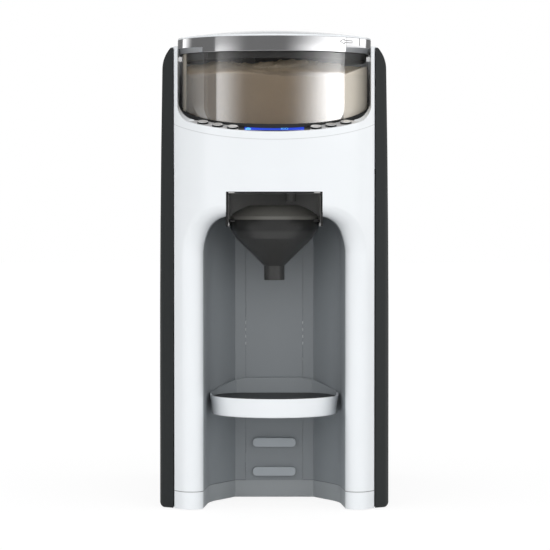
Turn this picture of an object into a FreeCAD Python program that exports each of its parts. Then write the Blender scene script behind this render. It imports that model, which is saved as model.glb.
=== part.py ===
import FreeCAD, Part
import math
import os
import re
import Sketcher

# Every driving size of the formula maker, in millimetres or degrees. The origin is at the middle of
# the footprint on the worktop, with the bottle niche facing -Y and +Z up.
SIZES = {
    # outer body
    "depth": 320,
    "half_width": 88.5,
    "shell_bulge": 1.5,
    "panel_overlap": 2,
    "wall": 2.5,
    "seat": 0.3,
    "press_gap": 0.1,
    "round_share": 0.45,
    "foot_height": 0.8,
    "foot_radius": 9,
    "foot_inset": 13,
    "base_thickness": 3,
    "skirt_height": 14.2,
    "panel_thickness": 9.5,
    "panel_step": 8,
    "panel_run": 7,
    "panel_seam": 0.8,
    "panel_turn": 9,
    "panel_drop": 1,
    "panel_taper": 2.3,
    "taper_start": 100,
    "shoulder_drop": 16.5,
    "shoulder_in": 6.6,
    "bottom_turn": 4,
    "cover_depth": 13,
    "cover_turn": 12,
    # collar and tilted control panel
    "rim_front": 289.3,
    "rim_tilt": 16,
    "rim_lip": 5.6,
    "neck_ledge": 2.8,
    "neck_turn": 9.5,
    "collar_top": 356,
    "well_gap": 1.5,
    "rim_wall": 1.5,
    "tip_ahead": 5.5,
    "tip_back": 55,
    "trough_gap": 5.8,
    "trough_depth": 3,
    "trough_start": 50,
    "tip_inset": 22,
    "panel_sink": 0.4,
    "panel_plate": 1.6,
    "key_depth": 9,
    "well_wall": 1.2,
    "key_room_gap": 0.4,
    "board_plate": 1.2,
    "switch_height": 1.9,
    "button_radius": 4.2,
    "button_inset": 6.7,
    "first_share": 0.379,
    "pitch_share": 0.138,
    "button_rise": 1.6,
    "button_travel": 0.8,
    "window_half": 23,
    "window_inset": 3.5,
    "window_plate": 1.0,
    # bottle niche
    "pillar_width": 22.6,
    "arch_spring": 196.3,
    "haunch_radius": 45,
    "haunch_turn": 25,
    "crown_side_radius": 17.6,
    "crown_turn": 8,
    "arch_roll": 9.5,
    "lip_margin": 5.6,
    "lip_depth": 6.3,
    "waist_step": 2.2,
    "waist_ahead": 2,
    "cheek_bow": 60,
    "cheek_step": 10.8,
    "cheek_behind": 27,
    "niche_behind": 49.7,
    "back_step": 23.2,
    "rail_step": 8.5,
    "rail_top": 200,
    "rail_gap": 0.15,
    "peg_step": 5.7,
    "peg_height": 6.9,
    "peg_reach": 5.5,
    "peg_first": 18.3,
    "peg_pitch": 23.1,
    # bottle stand
    "pour_ahead": 20,
    "stand_gap": 4.3,
    "stand_taper": 1.7,
    "stand_bottom": 71.7,
    "stand_height": 14.6,
    "insert_edge": 1.9,
    "insert_plate": 3,
    "insert_drop": 1.1,
    "insert_gap": 0.2,
    "bracket_rise": 10.7,
    "bracket_side_rise": 1.6,
    "knee_step": 17.3,
    "bracket_knee_rise": 8.6,
    "hook_step": 28.8,
    "bracket_depth": 11.2,
    "wall_gap": 0.5,
    # funnel and its bay
    "bay_half": 35.4,
    "bay_lip": 0.8,
    "bay_wall": 1.3,
    "bay_bottom": 218,
    "bay_top": 243.3,
    "bay_behind": 39.5,
    "ledge": 0.8,
    "ledge_height": 2.6,
    "funnel_rim": 223,
    "funnel_radius": 34.4,
    "funnel_skirt": 6.5,
    "funnel_neck_radius": 29.7,
    "funnel_neck_drop": 14.5,
    "spout_radius": 8,
    "spout_top_drop": 36,
    "spout_drop": 47.2,
    "funnel_wall": 1.8,
    "ear_half": 16,
    "ear_height": 2,
    "cover_rise": 11,
    "cover_mouth": 19,
    # powder container
    "deck_top": 262,
    "deck_plate": 4,
    "hopper_inset": 15,
    "hopper_drop": 5.2,
    "hopper_lip": 7,
    "hopper_lip_plate": 1.7,
    "floor_plate": 3,
    "outlet_radius": 8,
    "chute_wall": 1.3,
    "wheel_radius": 34,
    "wheel_plate": 4,
    "pocket_radius": 6.5,
    "hub_radius": 7,
    "hub_top": 280,
    "run_gap": 0.05,
    "dog_side": 7,
    "dog_gap": 0.3,
    "dog_height": 10,
    "arm_gap": 9,
    "arm_width": 8,
    "arm_plate": 4,
    "blade_inset": 35,
    "blade_width": 12,
    "blade_plate": 3,
    "blade_drop": 2,
    "stirrer_angle": 122,
    "band_reach": 0.9,
    "band_height": 11.6,
    "band_wall": 2,
    "lid_height": 7.2,
    "lid_edge": 1.2,
    "lid_skirt": 7.7,
    "seal_depth": 5,
    "seal_width": 2.7,
    # powder drive
    "tooth_module": 1,
    "output_teeth": 18,
    "idler_teeth": 36,
    "pinion_teeth": 12,
    "gear_plate": 3,
    "gear_width": 6,
    "gear_pin": 2,
    "output_shaft": 5,
    "output_pin": 3,
    "motor_shaft": 1.5,
    "motor_radius": 16,
    "motor_length": 58,
    # frame, tank and water parts
    "cheek_plate": 3,
    "bulkhead_gap": 3,
    "bulkhead_plate": 3,
    "dock_top": 150,
    "dock_plate": 6,
    "tank_gap": 4,
    "tank_drop": 10,
    "tank_turn": 13,
    "tank_lid_plate": 4.7,
    "tank_plug": 4.3,
    "valve_left": 40,
    "valve_setback": 220,
    "valve_radius": 9,
    "valve_stem": 3,
    "valve_reach": 2,
    "hose_radius": 4,
    "nipple": 8,
    "heater_radius": 24,
    "heater_height": 105.5,
    "heater_right": 38,
    "heater_behind": 32.3,
    "pump_half": 18,
    "pump_height": 45,
    "nozzle_radius": 4,
    "nozzle_right": 13,
    "nozzle_ahead": 10,
    "nozzle_reach": 6.3,
    # rear cover details and small parts
    "inlet_width": 24,
    "inlet_height": 22,
    "inlet_bottom": 18,
    "board_setback": 5,
    "board_half": 45,
    "board_bottom": 22,
    "board_height": 90,
    "post_radius": 3,
    "vent_bottom": 100,
    "vent_pitch": 6,
    "vent_half": 30,
    "vent_height": 2.5,
    "relay_depth": 14,
    "relay_pitch": 22,
    "relay_width": 16,
    "screw_inset": 9,
    "screw_ahead": 60,
    "screw_behind": 30,
    "screw_last": 110,
    "screw_sink": 1.5,
    "screw_head": 3,
    "screw_shank": 1.5,
    "port_depth": 3.5,
    "hose_bore": 2.5,
    "hose_level": 28.5,
    "hose_turn": 14,
    "spout_hose": 3,
    "flow_radius": 1.2,
    "hopper_edge": 1,
    "button_gap": 0.2,
    "button_flange": 0.8,
    "button_brim": 0.4,
    "button_edge": 0.6,
    "stem_radius": 2,
    "switch_half": 2.6,
    "switch_case_half": 10,
    "switch_case_depth": 5,
    "switch_case_height": 10,
    "gear_base_half": 30,
    "cover_edge": 2.5,
    "cover_arch": 40,
    "stand_edge": 1.2,
}

# Sizes that follow from another by a named allowance, so that neighbours keep together.
FOLLOWING = {
    "panel_inner": "half_width - panel_thickness",
    "shell_half": "panel_inner - panel_overlap",
    "shell_radius": "half_width + shell_bulge",
    "neck_half": "shell_half - neck_ledge",
    "hopper_radius": "shell_radius - hopper_inset",
    "well_radius": "hopper_radius + well_gap",
    "crescent_radius": "shell_radius - rim_wall",
    "crescent_tip": "crescent_radius - tip_inset",
    "crescent_end": "crescent_tip - tip_ahead",
    "button_ring": "shell_radius - button_inset",
    "button_first": "button_ring * first_share",
    "button_pitch": "button_ring * pitch_share",
    "window_outer": "shell_radius - window_inset",
    "arm_half": "hopper_radius - arm_gap",
    "blade_ring": "hopper_radius - blade_inset",
    "band_radius": "hopper_radius + band_reach",
    "tank_half": "panel_inner - tank_gap",
    "screw_half": "panel_inner - screw_inset",
    "arch_half": "shell_half - pillar_width",
    "lip_radius": "arch_half + lip_margin",
    "lip_setback": "lip_radius + lip_depth",
    "waist_half": "arch_half - waist_step",
    "cheek_half": "arch_half - cheek_step",
    "back_half": "arch_half - back_step",
    "rail_half": "back_half - rail_step",
    "peg_half": "rail_half - peg_step",
    "stand_radius": "arch_half - stand_gap",
    "insert_radius": "stand_radius - insert_edge",
    "bracket_knee": "stand_radius - knee_step",
    "bracket_half": "stand_radius - hook_step",
    "panel_top": "collar_top - panel_drop",
    "hopper_top": "collar_top - hopper_drop",
    "blade_top": "collar_top - blade_drop",
    "tank_top": "collar_top - tank_drop",
}

doc = FreeCAD.newDocument("formula_maker")
sheet = doc.addObject("Spreadsheet::Sheet", "sizes")
formulas = {alias: f"={formula}" for alias, formula in FOLLOWING.items()}
for row, (alias, amount) in enumerate({**SIZES, **formulas}.items(), 1):
    sheet.set(f"A{row}", alias.replace("_", " "))
    sheet.set(f"B{row}", str(amount))
    sheet.setAlias(f"B{row}", alias)
doc.recompute()
pieces = []

# Places worked out from the driving sizes.
FRONT = "(-depth / 2)"
REAR = "(depth / 2)"
AXIS = f"({FRONT} + shell_radius)"
POUR = f"({AXIS} - pour_ahead)"
SHELL_BACK = f"({AXIS} - sqrt(shell_radius ^ 2 - shell_half ^ 2))"
COVER_FRONT = f"({REAR} - cover_depth)"
BASE_TOP = "(foot_height + base_thickness)"
NICHE_BACK = f"({POUR} + niche_behind)"
BAY_BACK = f"({POUR} + bay_behind)"
BULKHEAD = f"({AXIS} + hopper_radius + bulkhead_gap)"
HOPPER_BASE = "(deck_top + seat)"
FLOOR_BOTTOM = f"({HOPPER_BASE} + hopper_lip_plate)"
FLOOR_TOP = f"({FLOOR_BOTTOM} + floor_plate)"
BAY_OUT = "(bay_half + bay_wall)"
BAY_ROOF = "(bay_top + wall)"
GEAR_FLOOR = f"({BAY_ROOF} + gear_plate + seat)"
GEAR_TOP = f"({GEAR_FLOOR} + gear_width)"
IDLER = f"({AXIS} + tooth_module * (output_teeth + idler_teeth) / 2)"
PINION = f"({IDLER} + tooth_module * (idler_teeth + pinion_teeth) / 2)"
CHUTE = "(outlet_radius + chute_wall)"
DOCK_BOTTOM = "(dock_top - dock_plate)"
TANK_BASE = "(dock_top + seat)"
BAND_BASE = "(hopper_top + seat)"
BAND_TOP = f"({BAND_BASE} + band_height)"
STAND_TOP = "(stand_bottom + stand_height)"
SHELL_INNER = "(shell_radius - wall - press_gap)"


def bound(text):
    """The expression with every size that it names read from the sheet."""
    known = {**SIZES, **FOLLOWING}
    return re.sub(r"[a-z][a-z_]*", lambda w: "sizes." + w[0] if w[0] in known else w[0], str(text))


def amount_of(text):
    return float(sheet.evalExpression(bound(text)))


def bind(thing, path, text):
    thing.setExpression(path, bound(text))


def corner(across, up, turn=None, bow=None):
    """A corner of an outline: turn rounds it off, bow bends the edge that follows it."""
    return {"across": str(across), "up": str(up), "turn": turn, "bow": bow}


def both_sides(right):
    """Close an outline from its right half, given from the bottom up."""
    closing = [dict(spot) for spot in right]
    on_axis = amount_of(right[-1]["across"]) == 0
    if on_axis:
        closing[-1]["bow"] = right[-2]["bow"]
    left = []
    for index in range(len(right) - 1, -1, -1):
        here = right[index]
        bow = right[index - 1]["bow"] if index else None
        if amount_of(here["across"]) != 0:
            left.append(corner(f"-({here['across']})", here["up"], here["turn"], bow))
    return closing + left


def fix_point(sketch, shape, end, spot):
    for kind, text in (("DistanceX", spot["across"]), ("DistanceY", spot["up"])):
        rule = sketch.addConstraint(Sketcher.Constraint(kind, -1, 1, shape, end, amount_of(text)))
        bind(sketch, f"Constraints[{rule}]", text)


def circle_piece(centre, radius, first, last):
    """The arc that runs anticlockwise from first to last."""
    angles = [math.atan2(spot.y - centre.y, spot.x - centre.x) for spot in (first, last)]
    if angles[1] < angles[0]:
        angles[1] += 2 * math.pi
    return Part.ArcOfCircle(Part.Circle(centre, FreeCAD.Vector(0, 0, 1), radius), *angles)


def bent_edge(first, last, bow):
    """A circular edge: a positive bow swells to the right of the way it runs."""
    chord = last - first
    left = FreeCAD.Vector(-chord.y, chord.x, 0).normalize()
    reach = math.sqrt(bow ** 2 - (chord.Length / 2) ** 2)
    centre = (first + last) * 0.5 + left * math.copysign(reach, bow)
    begin, end = (first, last) if bow > 0 else (last, first)
    return circle_piece(centre, abs(bow), begin, end)


def draw_turns(sketch, corners, spots, starts, ends):
    """Draw the rounded corners and move the ends of the edges beside them."""
    turns = {}
    for i, spot in enumerate(corners):
        if not spot["turn"]:
            continue
        back = (spots[i - 1] - spots[i]).normalize()
        ahead = (spots[(i + 1) % len(spots)] - spots[i]).normalize()
        half = back.getAngle(ahead) / 2
        radius = amount_of(spot["turn"])
        run = radius / math.tan(half)
        ends[i] = spots[i] + back * run
        starts[i] = spots[i] + ahead * run
        centre = spots[i] + (back + ahead).normalize() * (radius / math.sin(half))
        left_turn = back.cross(ahead).z < 0
        first, last = (ends[i], starts[i]) if left_turn else (starts[i], ends[i])
        turns[i] = (sketch.addGeometry(circle_piece(centre, radius, first, last)), left_turn)
    return turns


def draw_outline(sketch, corners):
    """Draw a closed outline and bind its corners, roundings and bows to the sheet."""
    spots = [FreeCAD.Vector(amount_of(c["across"]), amount_of(c["up"]), 0) for c in corners]
    starts = list(spots)
    ends = list(spots)
    turns = draw_turns(sketch, corners, spots, starts, ends)
    edges = []
    for i, spot in enumerate(corners):
        after = ends[(i + 1) % len(spots)]
        if not spot["bow"]:
            edges.append((sketch.addGeometry(Part.LineSegment(starts[i], after)), 1, 2))
            continue
        bow = amount_of(spot["bow"])
        shape = sketch.addGeometry(bent_edge(starts[i], after, bow))
        edges.append((shape, 1, 2) if bow > 0 else (shape, 2, 1))
        rule = sketch.addConstraint(Sketcher.Constraint("Radius", shape, abs(bow)))
        bind(sketch, f"Constraints[{rule}]", f"abs({spot['bow']})")
    for i, spot in enumerate(corners):
        before, after = edges[i - 1], edges[i]
        if i not in turns:
            sketch.addConstraint(Sketcher.Constraint("Coincident", before[0], before[2], after[0], after[1]))
            fix_point(sketch, after[0], after[1], spot)
            continue
        arc, left_turn = turns[i]
        enter, leave = (1, 2) if left_turn else (2, 1)
        mark = sketch.addGeometry(Part.Point(spots[i]), True)
        sketch.addConstraint(Sketcher.Constraint("Tangent", before[0], before[2], arc, enter))
        sketch.addConstraint(Sketcher.Constraint("Tangent", arc, leave, after[0], after[1]))
        sketch.addConstraint(Sketcher.Constraint("PointOnObject", mark, 1, before[0]))
        sketch.addConstraint(Sketcher.Constraint("PointOnObject", mark, 1, after[0]))
        rule = sketch.addConstraint(Sketcher.Constraint("Radius", arc, amount_of(spot["turn"])))
        bind(sketch, f"Constraints[{rule}]", spot["turn"])
        fix_point(sketch, mark, 1, spot)


def body_with_sketch(label, role, corners):
    body = doc.addObject("PartDesign::Body", label)
    sketch = body.newObject("Sketcher::SketchObject", f"{label}_outline")
    plane = [datum for datum in body.Origin.OriginFeatures if datum.Role == role][0]
    sketch.AttachmentSupport = [(plane, "")]
    sketch.MapMode = "FlatFace"
    draw_outline(sketch, corners)
    return body, sketch


def prism(label, role, corners, low, high):
    """A body padded between two heights square to one of its planes."""
    body, sketch = body_with_sketch(label, role, corners)
    bind(sketch, "AttachmentOffset.Base.z", f"-({high})" if role == "XZ_Plane" else low)
    pad = body.newObject("PartDesign::Pad", f"{label}_pad")
    pad.Profile = sketch
    bind(pad, "Length", f"({high}) - ({low})")
    return body


def turned(label, corners, across="0", along="0", up="0"):
    """A body turned about an upright axis, from an outline of radius and height."""
    body, sketch = body_with_sketch(label, "XZ_Plane", corners)
    spin = body.newObject("PartDesign::Revolution", f"{label}_turn")
    spin.Profile = sketch
    spin.ReferenceAxis = (sketch, ["V_Axis"])
    spin.Angle = 360
    for path, text in (("x", across), ("y", along), ("z", up)):
        bind(body, f"Placement.Base.{path}", text)
    return body


def block(label, across, along, up):
    """A box between two places on each axis."""
    box = doc.addObject("Part::Box", label)
    for path, side, (low, high) in zip("xyz", ("Length", "Width", "Height"), (across, along, up)):
        bind(box, side, f"({high}) - ({low})")
        bind(box, f"Placement.Base.{path}", low)
    return box


def rod(label, centre, span, radius, axis="z"):
    """A cylinder between two places along one axis; centre gives the other two, in x, y, z order."""
    cylinder = doc.addObject("Part::Cylinder", label)
    bind(cylinder, "Radius", radius)
    bind(cylinder, "Height", f"({span[1]}) - ({span[0]})")
    turn = {"x": ((0, 1, 0), 90), "y": ((1, 0, 0), -90), "z": ((0, 0, 1), 0)}[axis]
    cylinder.Placement.Rotation = FreeCAD.Rotation(FreeCAD.Vector(*turn[0]), turn[1])
    places = dict(zip([name for name in "xyz" if name != axis], centre))
    places[axis] = span[0]
    for path, text in places.items():
        bind(cylinder, f"Placement.Base.{path}", text)
    return cylinder


def cut(label, base, *tools):
    result = doc.addObject("Part::Cut", label)
    result.Base = base
    result.Tool = tools[0] if len(tools) == 1 else fuse(f"{label}_tools", *tools)
    return result


def fuse(label, *parts):
    result = doc.addObject("Part::MultiFuse", label)
    result.Shapes = list(parts)
    return result


def common(label, *parts):
    result = doc.addObject("Part::MultiCommon", label)
    result.Shapes = list(parts)
    return result


def mirrored(label, source):
    result = doc.addObject("Part::Mirroring", label)
    result.Source = source
    result.Normal = FreeCAD.Vector(1, 0, 0)
    return result


def piece(label, result):
    """Keep a finished object as one of the machine's pieces."""
    result.Label = label
    pieces.append(result)
    return result


def tilt(thing, across="0", along=FRONT):
    """Stand a body on the rim's tilted plane, above a place of the footprint."""
    axis = FreeCAD.Vector(1, 0, 0)
    thing.Placement = FreeCAD.Placement(FreeCAD.Vector(), FreeCAD.Rotation(axis, amount_of("rim_tilt")))
    bind(thing, "Placement.Rotation.Angle", "rim_tilt")
    bind(thing, "Placement.Base.x", across)
    bind(thing, "Placement.Base.y", along)
    bind(thing, "Placement.Base.z", rim_height(along))
    return thing


def rim_height(along):
    return f"(rim_front + (({along}) - {FRONT}) * tan(rim_tilt))"


def seam_height(along):
    return f"({rim_height(along)} - rim_lip)"


# Front shell: one white moulding with the niche's arch cut out of it and its edge rolled inwards.
def arch_outline(gap, bottom):
    """The niche's arch seen from the front, grown outwards by a gap."""
    side = f"(haunch_radius + {gap})"
    crown = f"(crown_side_radius + {gap})"
    haunch_x = f"(arch_half + {gap} - {side} * (1 - cos(haunch_turn)))"
    haunch_z = f"(arch_spring + {side} * sin(haunch_turn))"
    crown_x = f"({haunch_x} - {crown} * (cos(haunch_turn) - sin(crown_turn)))"
    crown_z = f"({haunch_z} + {crown} * (cos(crown_turn) - sin(haunch_turn)))"
    top_radius = f"({crown_x} / sin(crown_turn))"
    return both_sides([
        corner(f"arch_half + {gap}", bottom),
        corner(f"arch_half + {gap}", "arch_spring", bow=side),
        corner(haunch_x, haunch_z, bow=crown),
        corner(crown_x, crown_z, bow=top_radius),
        corner(0, f"{crown_z} + {top_radius} * (1 - cos(crown_turn))"),
    ])


def shell_blank():
    """The shell's solid front with the arch through it and the arch's edge rolled off."""
    front = [corner("-shell_half", SHELL_BACK, bow="shell_radius"), corner("shell_half", SHELL_BACK)]
    body, sketch = body_with_sketch("shell_blank", "XY_Plane", front)
    bind(sketch, "AttachmentOffset.Base.z", "foot_height")
    pad = body.newObject("PartDesign::Pad", "shell_pad")
    pad.Profile = sketch
    bind(pad, "Length", "collar_top")
    plane = [datum for datum in body.Origin.OriginFeatures if datum.Role == "XZ_Plane"][0]
    opening = body.newObject("Sketcher::SketchObject", "arch_opening")
    opening.AttachmentSupport = [(plane, "")]
    opening.MapMode = "FlatFace"
    draw_outline(opening, arch_outline("0", "-foot_height"))
    pocket = body.newObject("PartDesign::Pocket", "arch_pocket")
    pocket.Profile = opening
    pocket.Midplane = True
    bind(pocket, "Length", "2 * depth")
    doc.recompute()
    roll = body.newObject("PartDesign::Fillet", "arch_roll_edge")
    roll.Base = (pocket, arch_edges(pocket.Shape))
    bind(roll, "Radius", "arch_roll")
    return body


NEAR = 0.01


def arch_edges(shape):
    """The edges where the arch meets the round front."""
    names = []
    for number, edge in enumerate(shape.Edges, 1):
        spots = [edge.valueAt(edge.FirstParameter + share * (edge.LastParameter - edge.FirstParameter))
                 for share in (0, 0.5, 1)]
        reach = [math.hypot(spot.x, spot.y - amount_of(AXIS)) for spot in spots]
        on_front = all(abs(size - amount_of("shell_radius")) < NEAR for size in reach)
        in_arch = all(abs(spot.x) < amount_of("arch_half") + NEAR for spot in spots)
        above_base = all(spot.z < amount_of("rim_front - rim_lip - wall") for spot in spots)
        level = abs(spots[0].z - spots[2].z) < NEAR and spots[0].z < amount_of("skirt_height")
        if on_front and in_arch and above_base and not level:
            names.append(f"Edge{number}")
    return names


def bay_blank():
    """The space that the funnel bay's box takes up behind the front."""
    box = block("bay_box", (f"-{BAY_OUT}", BAY_OUT), (FRONT, f"{BAY_BACK} + wall"),
                ("bay_bottom", BAY_ROOF))
    return common("bay_blank", box, rod("bay_front", ("0", AXIS), ("0", "collar_top"), SHELL_INNER))


blank = shell_blank()
lip_post = rod("lip_post", ("0", f"{FRONT} + lip_setback"), ("0", "collar_top * 2"), "lip_radius")
bay_space = bay_blank()
notch = block("bay_notch", ("-(bay_half + bay_lip)", "bay_half + bay_lip"), (FRONT, SHELL_BACK),
              ("arch_spring", "bay_top + bay_lip"))
header_hollow = rod("header_hollow", ("0", AXIS), (f"{BAY_ROOF} + bay_lip", "collar_top * 2"), SHELL_INNER)
above_seam = prism("above_seam", "YZ_Plane", [
    corner(FRONT, seam_height(FRONT)),
    corner(SHELL_BACK, seam_height(SHELL_BACK)),
    corner(SHELL_BACK, "collar_top * 2"),
    corner(FRONT, "collar_top * 2"),
], "-half_width", "half_width")
below_skirt = block("below_skirt", ("-half_width", "half_width"), (FRONT, SHELL_BACK), ("0", "skirt_height"))
piece("front_shell", cut("front_shell", blank, lip_post, bay_space, notch, header_hollow, above_seam,
                         below_skirt))
right_foot = block("right_foot", ("0", "half_width"), (FRONT, SHELL_BACK), ("0", "skirt_height"))
skirt = common("skirt_blank", blank, right_foot)
skirt_right = piece("skirt_right", cut("skirt_right", skirt, lip_post))
piece("skirt_left", mirrored("skirt_left", skirt_right))


# Niche: a grey liner inside the arch, on a plinth that closes it to the worktop.
def niche_plan(gap):
    """The bottle space seen from above, grown outwards by a gap."""
    side = f"(arch_half + {gap})"
    front = f"({FRONT} + lip_setback - lip_radius)"
    side_front = f"({FRONT} + lip_setback - sqrt(lip_radius ^ 2 - {side} ^ 2))"
    return both_sides([
        corner(0, front, bow="lip_radius"),
        corner(side, side_front),
        corner(f"waist_half + {gap}", f"{POUR} - waist_ahead", bow=f"(cheek_bow + {gap})"),
        corner(f"cheek_half + {gap}", f"{POUR} + cheek_behind + {gap} / 3"),
        corner(f"back_half + {gap} / 2", f"{NICHE_BACK} + {gap}"),
    ])


def niche_solid(label, gap, bottom, top):
    plan = prism(f"{label}_plan", "XY_Plane", niche_plan(gap), bottom, top)
    arch = prism(f"{label}_arch", "XZ_Plane", arch_outline(gap, "-foot_height"), FRONT, REAR)
    return common(label, plan, arch)


liner_outer = niche_solid("liner_outer", "wall", "skirt_height", "deck_top")
liner_inner = niche_solid("liner_inner", "0", "foot_height", "deck_top")
rail_slot = block("rail_slot", ("-(rail_half + rail_gap)", "rail_half + rail_gap"),
                  (NICHE_BACK, f"{NICHE_BACK} + wall"), ("foot_height", "rail_top + rail_gap"))
piece("niche_liner", cut("niche_liner", liner_outer, liner_inner, bay_space, rail_slot))
plinth_outer = prism("plinth_outer", "XY_Plane", niche_plan("wall"), "foot_height", "skirt_height")
plinth_inner = prism("plinth_inner", "XY_Plane", niche_plan("0"), "foot_height", "skirt_height")
piece("niche_plinth", cut("niche_plinth", plinth_outer, plinth_inner))


PEGS = 4


def peg(number):
    low = f"(peg_first + {number} * peg_pitch)"
    outline = both_sides([corner("peg_half", low, "peg_height * round_share"),
                          corner("peg_half", f"{low} + peg_height", "peg_height * round_share")])
    return prism(f"peg_{number + 1}", "XZ_Plane", outline, f"{NICHE_BACK} - peg_reach", NICHE_BACK)


rail = block("rail_plate", ("-rail_half", "rail_half"), (NICHE_BACK, f"{NICHE_BACK} + wall"),
             ("skirt_height", "rail_top"))
piece("peg_rail", fuse("peg_rail", rail, *[peg(number) for number in range(PEGS)]))


# Side panels, rear cover and base: the charcoal outside.
def side_panel():
    plan = prism("panel_plan", "XY_Plane", [
        corner("shell_half + panel_seam", SHELL_BACK),
        corner("half_width", f"{SHELL_BACK} + panel_run", "panel_turn"),
        corner("half_width", COVER_FRONT),
        corner("panel_inner", COVER_FRONT),
        corner("panel_inner", f"{SHELL_BACK} + panel_step"),
        corner("shell_half + panel_seam", f"{SHELL_BACK} + panel_step"),
    ], "foot_height", "panel_top")
    taper_rise = "(panel_top - shoulder_drop - taper_start)"
    taper = f"((panel_taper ^ 2 + {taper_rise} ^ 2) / (2 * panel_taper))"
    shoulder = "((shoulder_in ^ 2 + shoulder_drop ^ 2) / (2 * shoulder_in))"
    side = prism("panel_side", "XZ_Plane", [
        corner("arch_half", "foot_height"),
        corner("half_width", "foot_height", "bottom_turn"),
        corner("half_width", "taper_start", bow=taper),
        corner("half_width - panel_taper", "panel_top - shoulder_drop", bow=shoulder),
        corner("half_width - panel_taper - shoulder_in", "panel_top"),
        corner("arch_half", "panel_top"),
    ], FRONT, REAR)
    hollow = block("panel_hollow", ("panel_inner", "half_width - panel_taper - wall"),
                   (f"{SHELL_BACK} + panel_run + wall", f"{COVER_FRONT} - wall"),
                   (BASE_TOP, "panel_top - shoulder_drop - wall"))
    return cut("side_panel_right", common("panel_blank", plan, side), hollow)


panel_right = piece("side_panel_right", side_panel())
piece("side_panel_left", mirrored("side_panel_left", panel_right))
def rear_solid(label, gap, bottom, top):
    return prism(label, "XY_Plane", both_sides([
        corner(f"half_width - {gap}", COVER_FRONT),
        corner(f"half_width - {gap}", f"{REAR} - {gap}", f"cover_turn - {gap}"),
    ]), bottom, top)


rear_plan = rear_solid("rear_plan", "0", "foot_height", DOCK_BOTTOM)
rear_hollow = rear_solid("rear_hollow", "wall", BASE_TOP, f"{DOCK_BOTTOM} - wall")
INLET_LEFT = "(half_width - cover_turn - inlet_width)"
INLET_RIGHT = "(half_width - cover_turn)"
INLET_BACK = f"({COVER_FRONT} + wall)"
inlet_space = block("inlet_space", (INLET_LEFT, INLET_RIGHT), (INLET_BACK, REAR),
                    ("inlet_bottom", "inlet_bottom + inlet_height"))
BOARD_BACK = f"({COVER_FRONT} - board_setback)"


def board_post(across, up):
    return rod("board_post", (across, up), (BOARD_BACK, f"{REAR} - wall"), "post_radius", "y")


def vent(number):
    low = f"(vent_bottom + {number} * vent_pitch)"
    return block(f"vent_{number + 1}", ("-vent_half", "vent_half"), (f"{REAR} - wall", REAR),
                 (low, f"{low} + vent_height"))


posts = [board_post(f"{side} * board_half - {side} * post_radius", up) for side in (-1, 1)
         for up in ("board_bottom + post_radius", "board_bottom + board_height - post_radius")]
rear_shell = cut("rear_shell", rear_plan, rear_hollow, inlet_space, *[vent(number) for number in range(6)])
piece("rear_cover", fuse("rear_cover", rear_shell, *posts))
base_plan = block("base_plan", ("-panel_inner", "panel_inner"),
                  (f"{SHELL_BACK} + panel_step", COVER_FRONT), ("foot_height", BASE_TOP))
base_niche = prism("base_niche", "XY_Plane", niche_plan("wall"), "0", "skirt_height")
FEET = [(f"{side} * (panel_inner - foot_inset)", along) for side in (-1, 1)
        for along in (f"{SHELL_BACK} + panel_step + foot_inset", f"{COVER_FRONT} - foot_inset")]
SCREWS = [(f"{side} * screw_half", along) for side in (-1, 1)
          for along in ("-screw_ahead", "screw_behind", "screw_last")]


def base_screw(place):
    head = rod("screw_head", place, ("foot_height", "foot_height + screw_sink"), "screw_head")
    return fuse("base_screw", head, rod("screw_shank", place, ("foot_height", BASE_TOP), "screw_shank"))


piece("base_plate", cut("base_plate", base_plan, base_niche, *[base_screw(place) for place in SCREWS]))
piece("base_screws", fuse("base_screws", *[base_screw(place) for place in SCREWS]))
piece("feet", fuse("feet", *[rod("foot", place, ("0", "foot_height"), "foot_radius") for place in FEET]))
piece("power_inlet", cut(
    "power_inlet",
    inlet_space,
    block("inlet_socket", (f"{INLET_LEFT} + wall", f"{INLET_RIGHT} - wall"), (f"{INLET_BACK} + wall", REAR),
          ("inlet_bottom + wall", "inlet_bottom + inlet_height - wall")),
))

# Inner frame: two upright cheeks, the deck that carries the powder container, and the tank's dock.
def chassis_cheek():
    return prism("cheek_plan", "YZ_Plane", [
        corner(f"{SHELL_BACK} + panel_step", BASE_TOP),
        corner(COVER_FRONT, BASE_TOP),
        corner(COVER_FRONT, DOCK_BOTTOM),
        corner(BULKHEAD, DOCK_BOTTOM),
        corner(BULKHEAD, "deck_top - deck_plate"),
        corner(f"{SHELL_BACK} + panel_step", "deck_top - deck_plate"),
    ], "panel_inner - cheek_plate", "panel_inner")


cheek_right = piece("chassis_right", chassis_cheek())
piece("chassis_left", mirrored("chassis_left", cheek_right))
DECK_FRONT = f"({AXIS} - sqrt(({SHELL_INNER} - press_gap) ^ 2 - (shell_half - wall) ^ 2))"
deck_plan = prism("deck_plan", "XY_Plane", both_sides([
    corner(0, f"{AXIS} - {SHELL_INNER} + press_gap", bow=f"({SHELL_INNER} - press_gap)"),
    corner("shell_half - wall", DECK_FRONT),
    corner("shell_half - wall", f"{SHELL_BACK} + panel_step"),
    corner("panel_inner", f"{SHELL_BACK} + panel_step"),
    corner("panel_inner", BULKHEAD),
]), "deck_top - deck_plate", "deck_top")
shaft_hole = rod("shaft_hole", ("0", AXIS), (GEAR_TOP, "deck_top"), "output_shaft + run_gap")
chute_outside = rod("chute_outside", ("0", POUR), ("bay_top", "deck_top"), CHUTE)
chute_inside = rod("chute_inside", ("0", POUR), ("bay_top", "deck_top"), "outlet_radius")
piece("hopper_deck", cut("hopper_deck", deck_plan, shaft_hole, chute_outside))
piece("bulkhead", block("bulkhead", ("-well_radius", "well_radius"),
                        (BULKHEAD, f"{BULKHEAD} + bulkhead_plate"), ("dock_top", "hopper_top")))
piece("powder_chute", cut("powder_chute", chute_outside, chute_inside))
VALVE_X = "(-valve_left)"
VALVE_Y = f"({FRONT} + valve_setback)"
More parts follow.
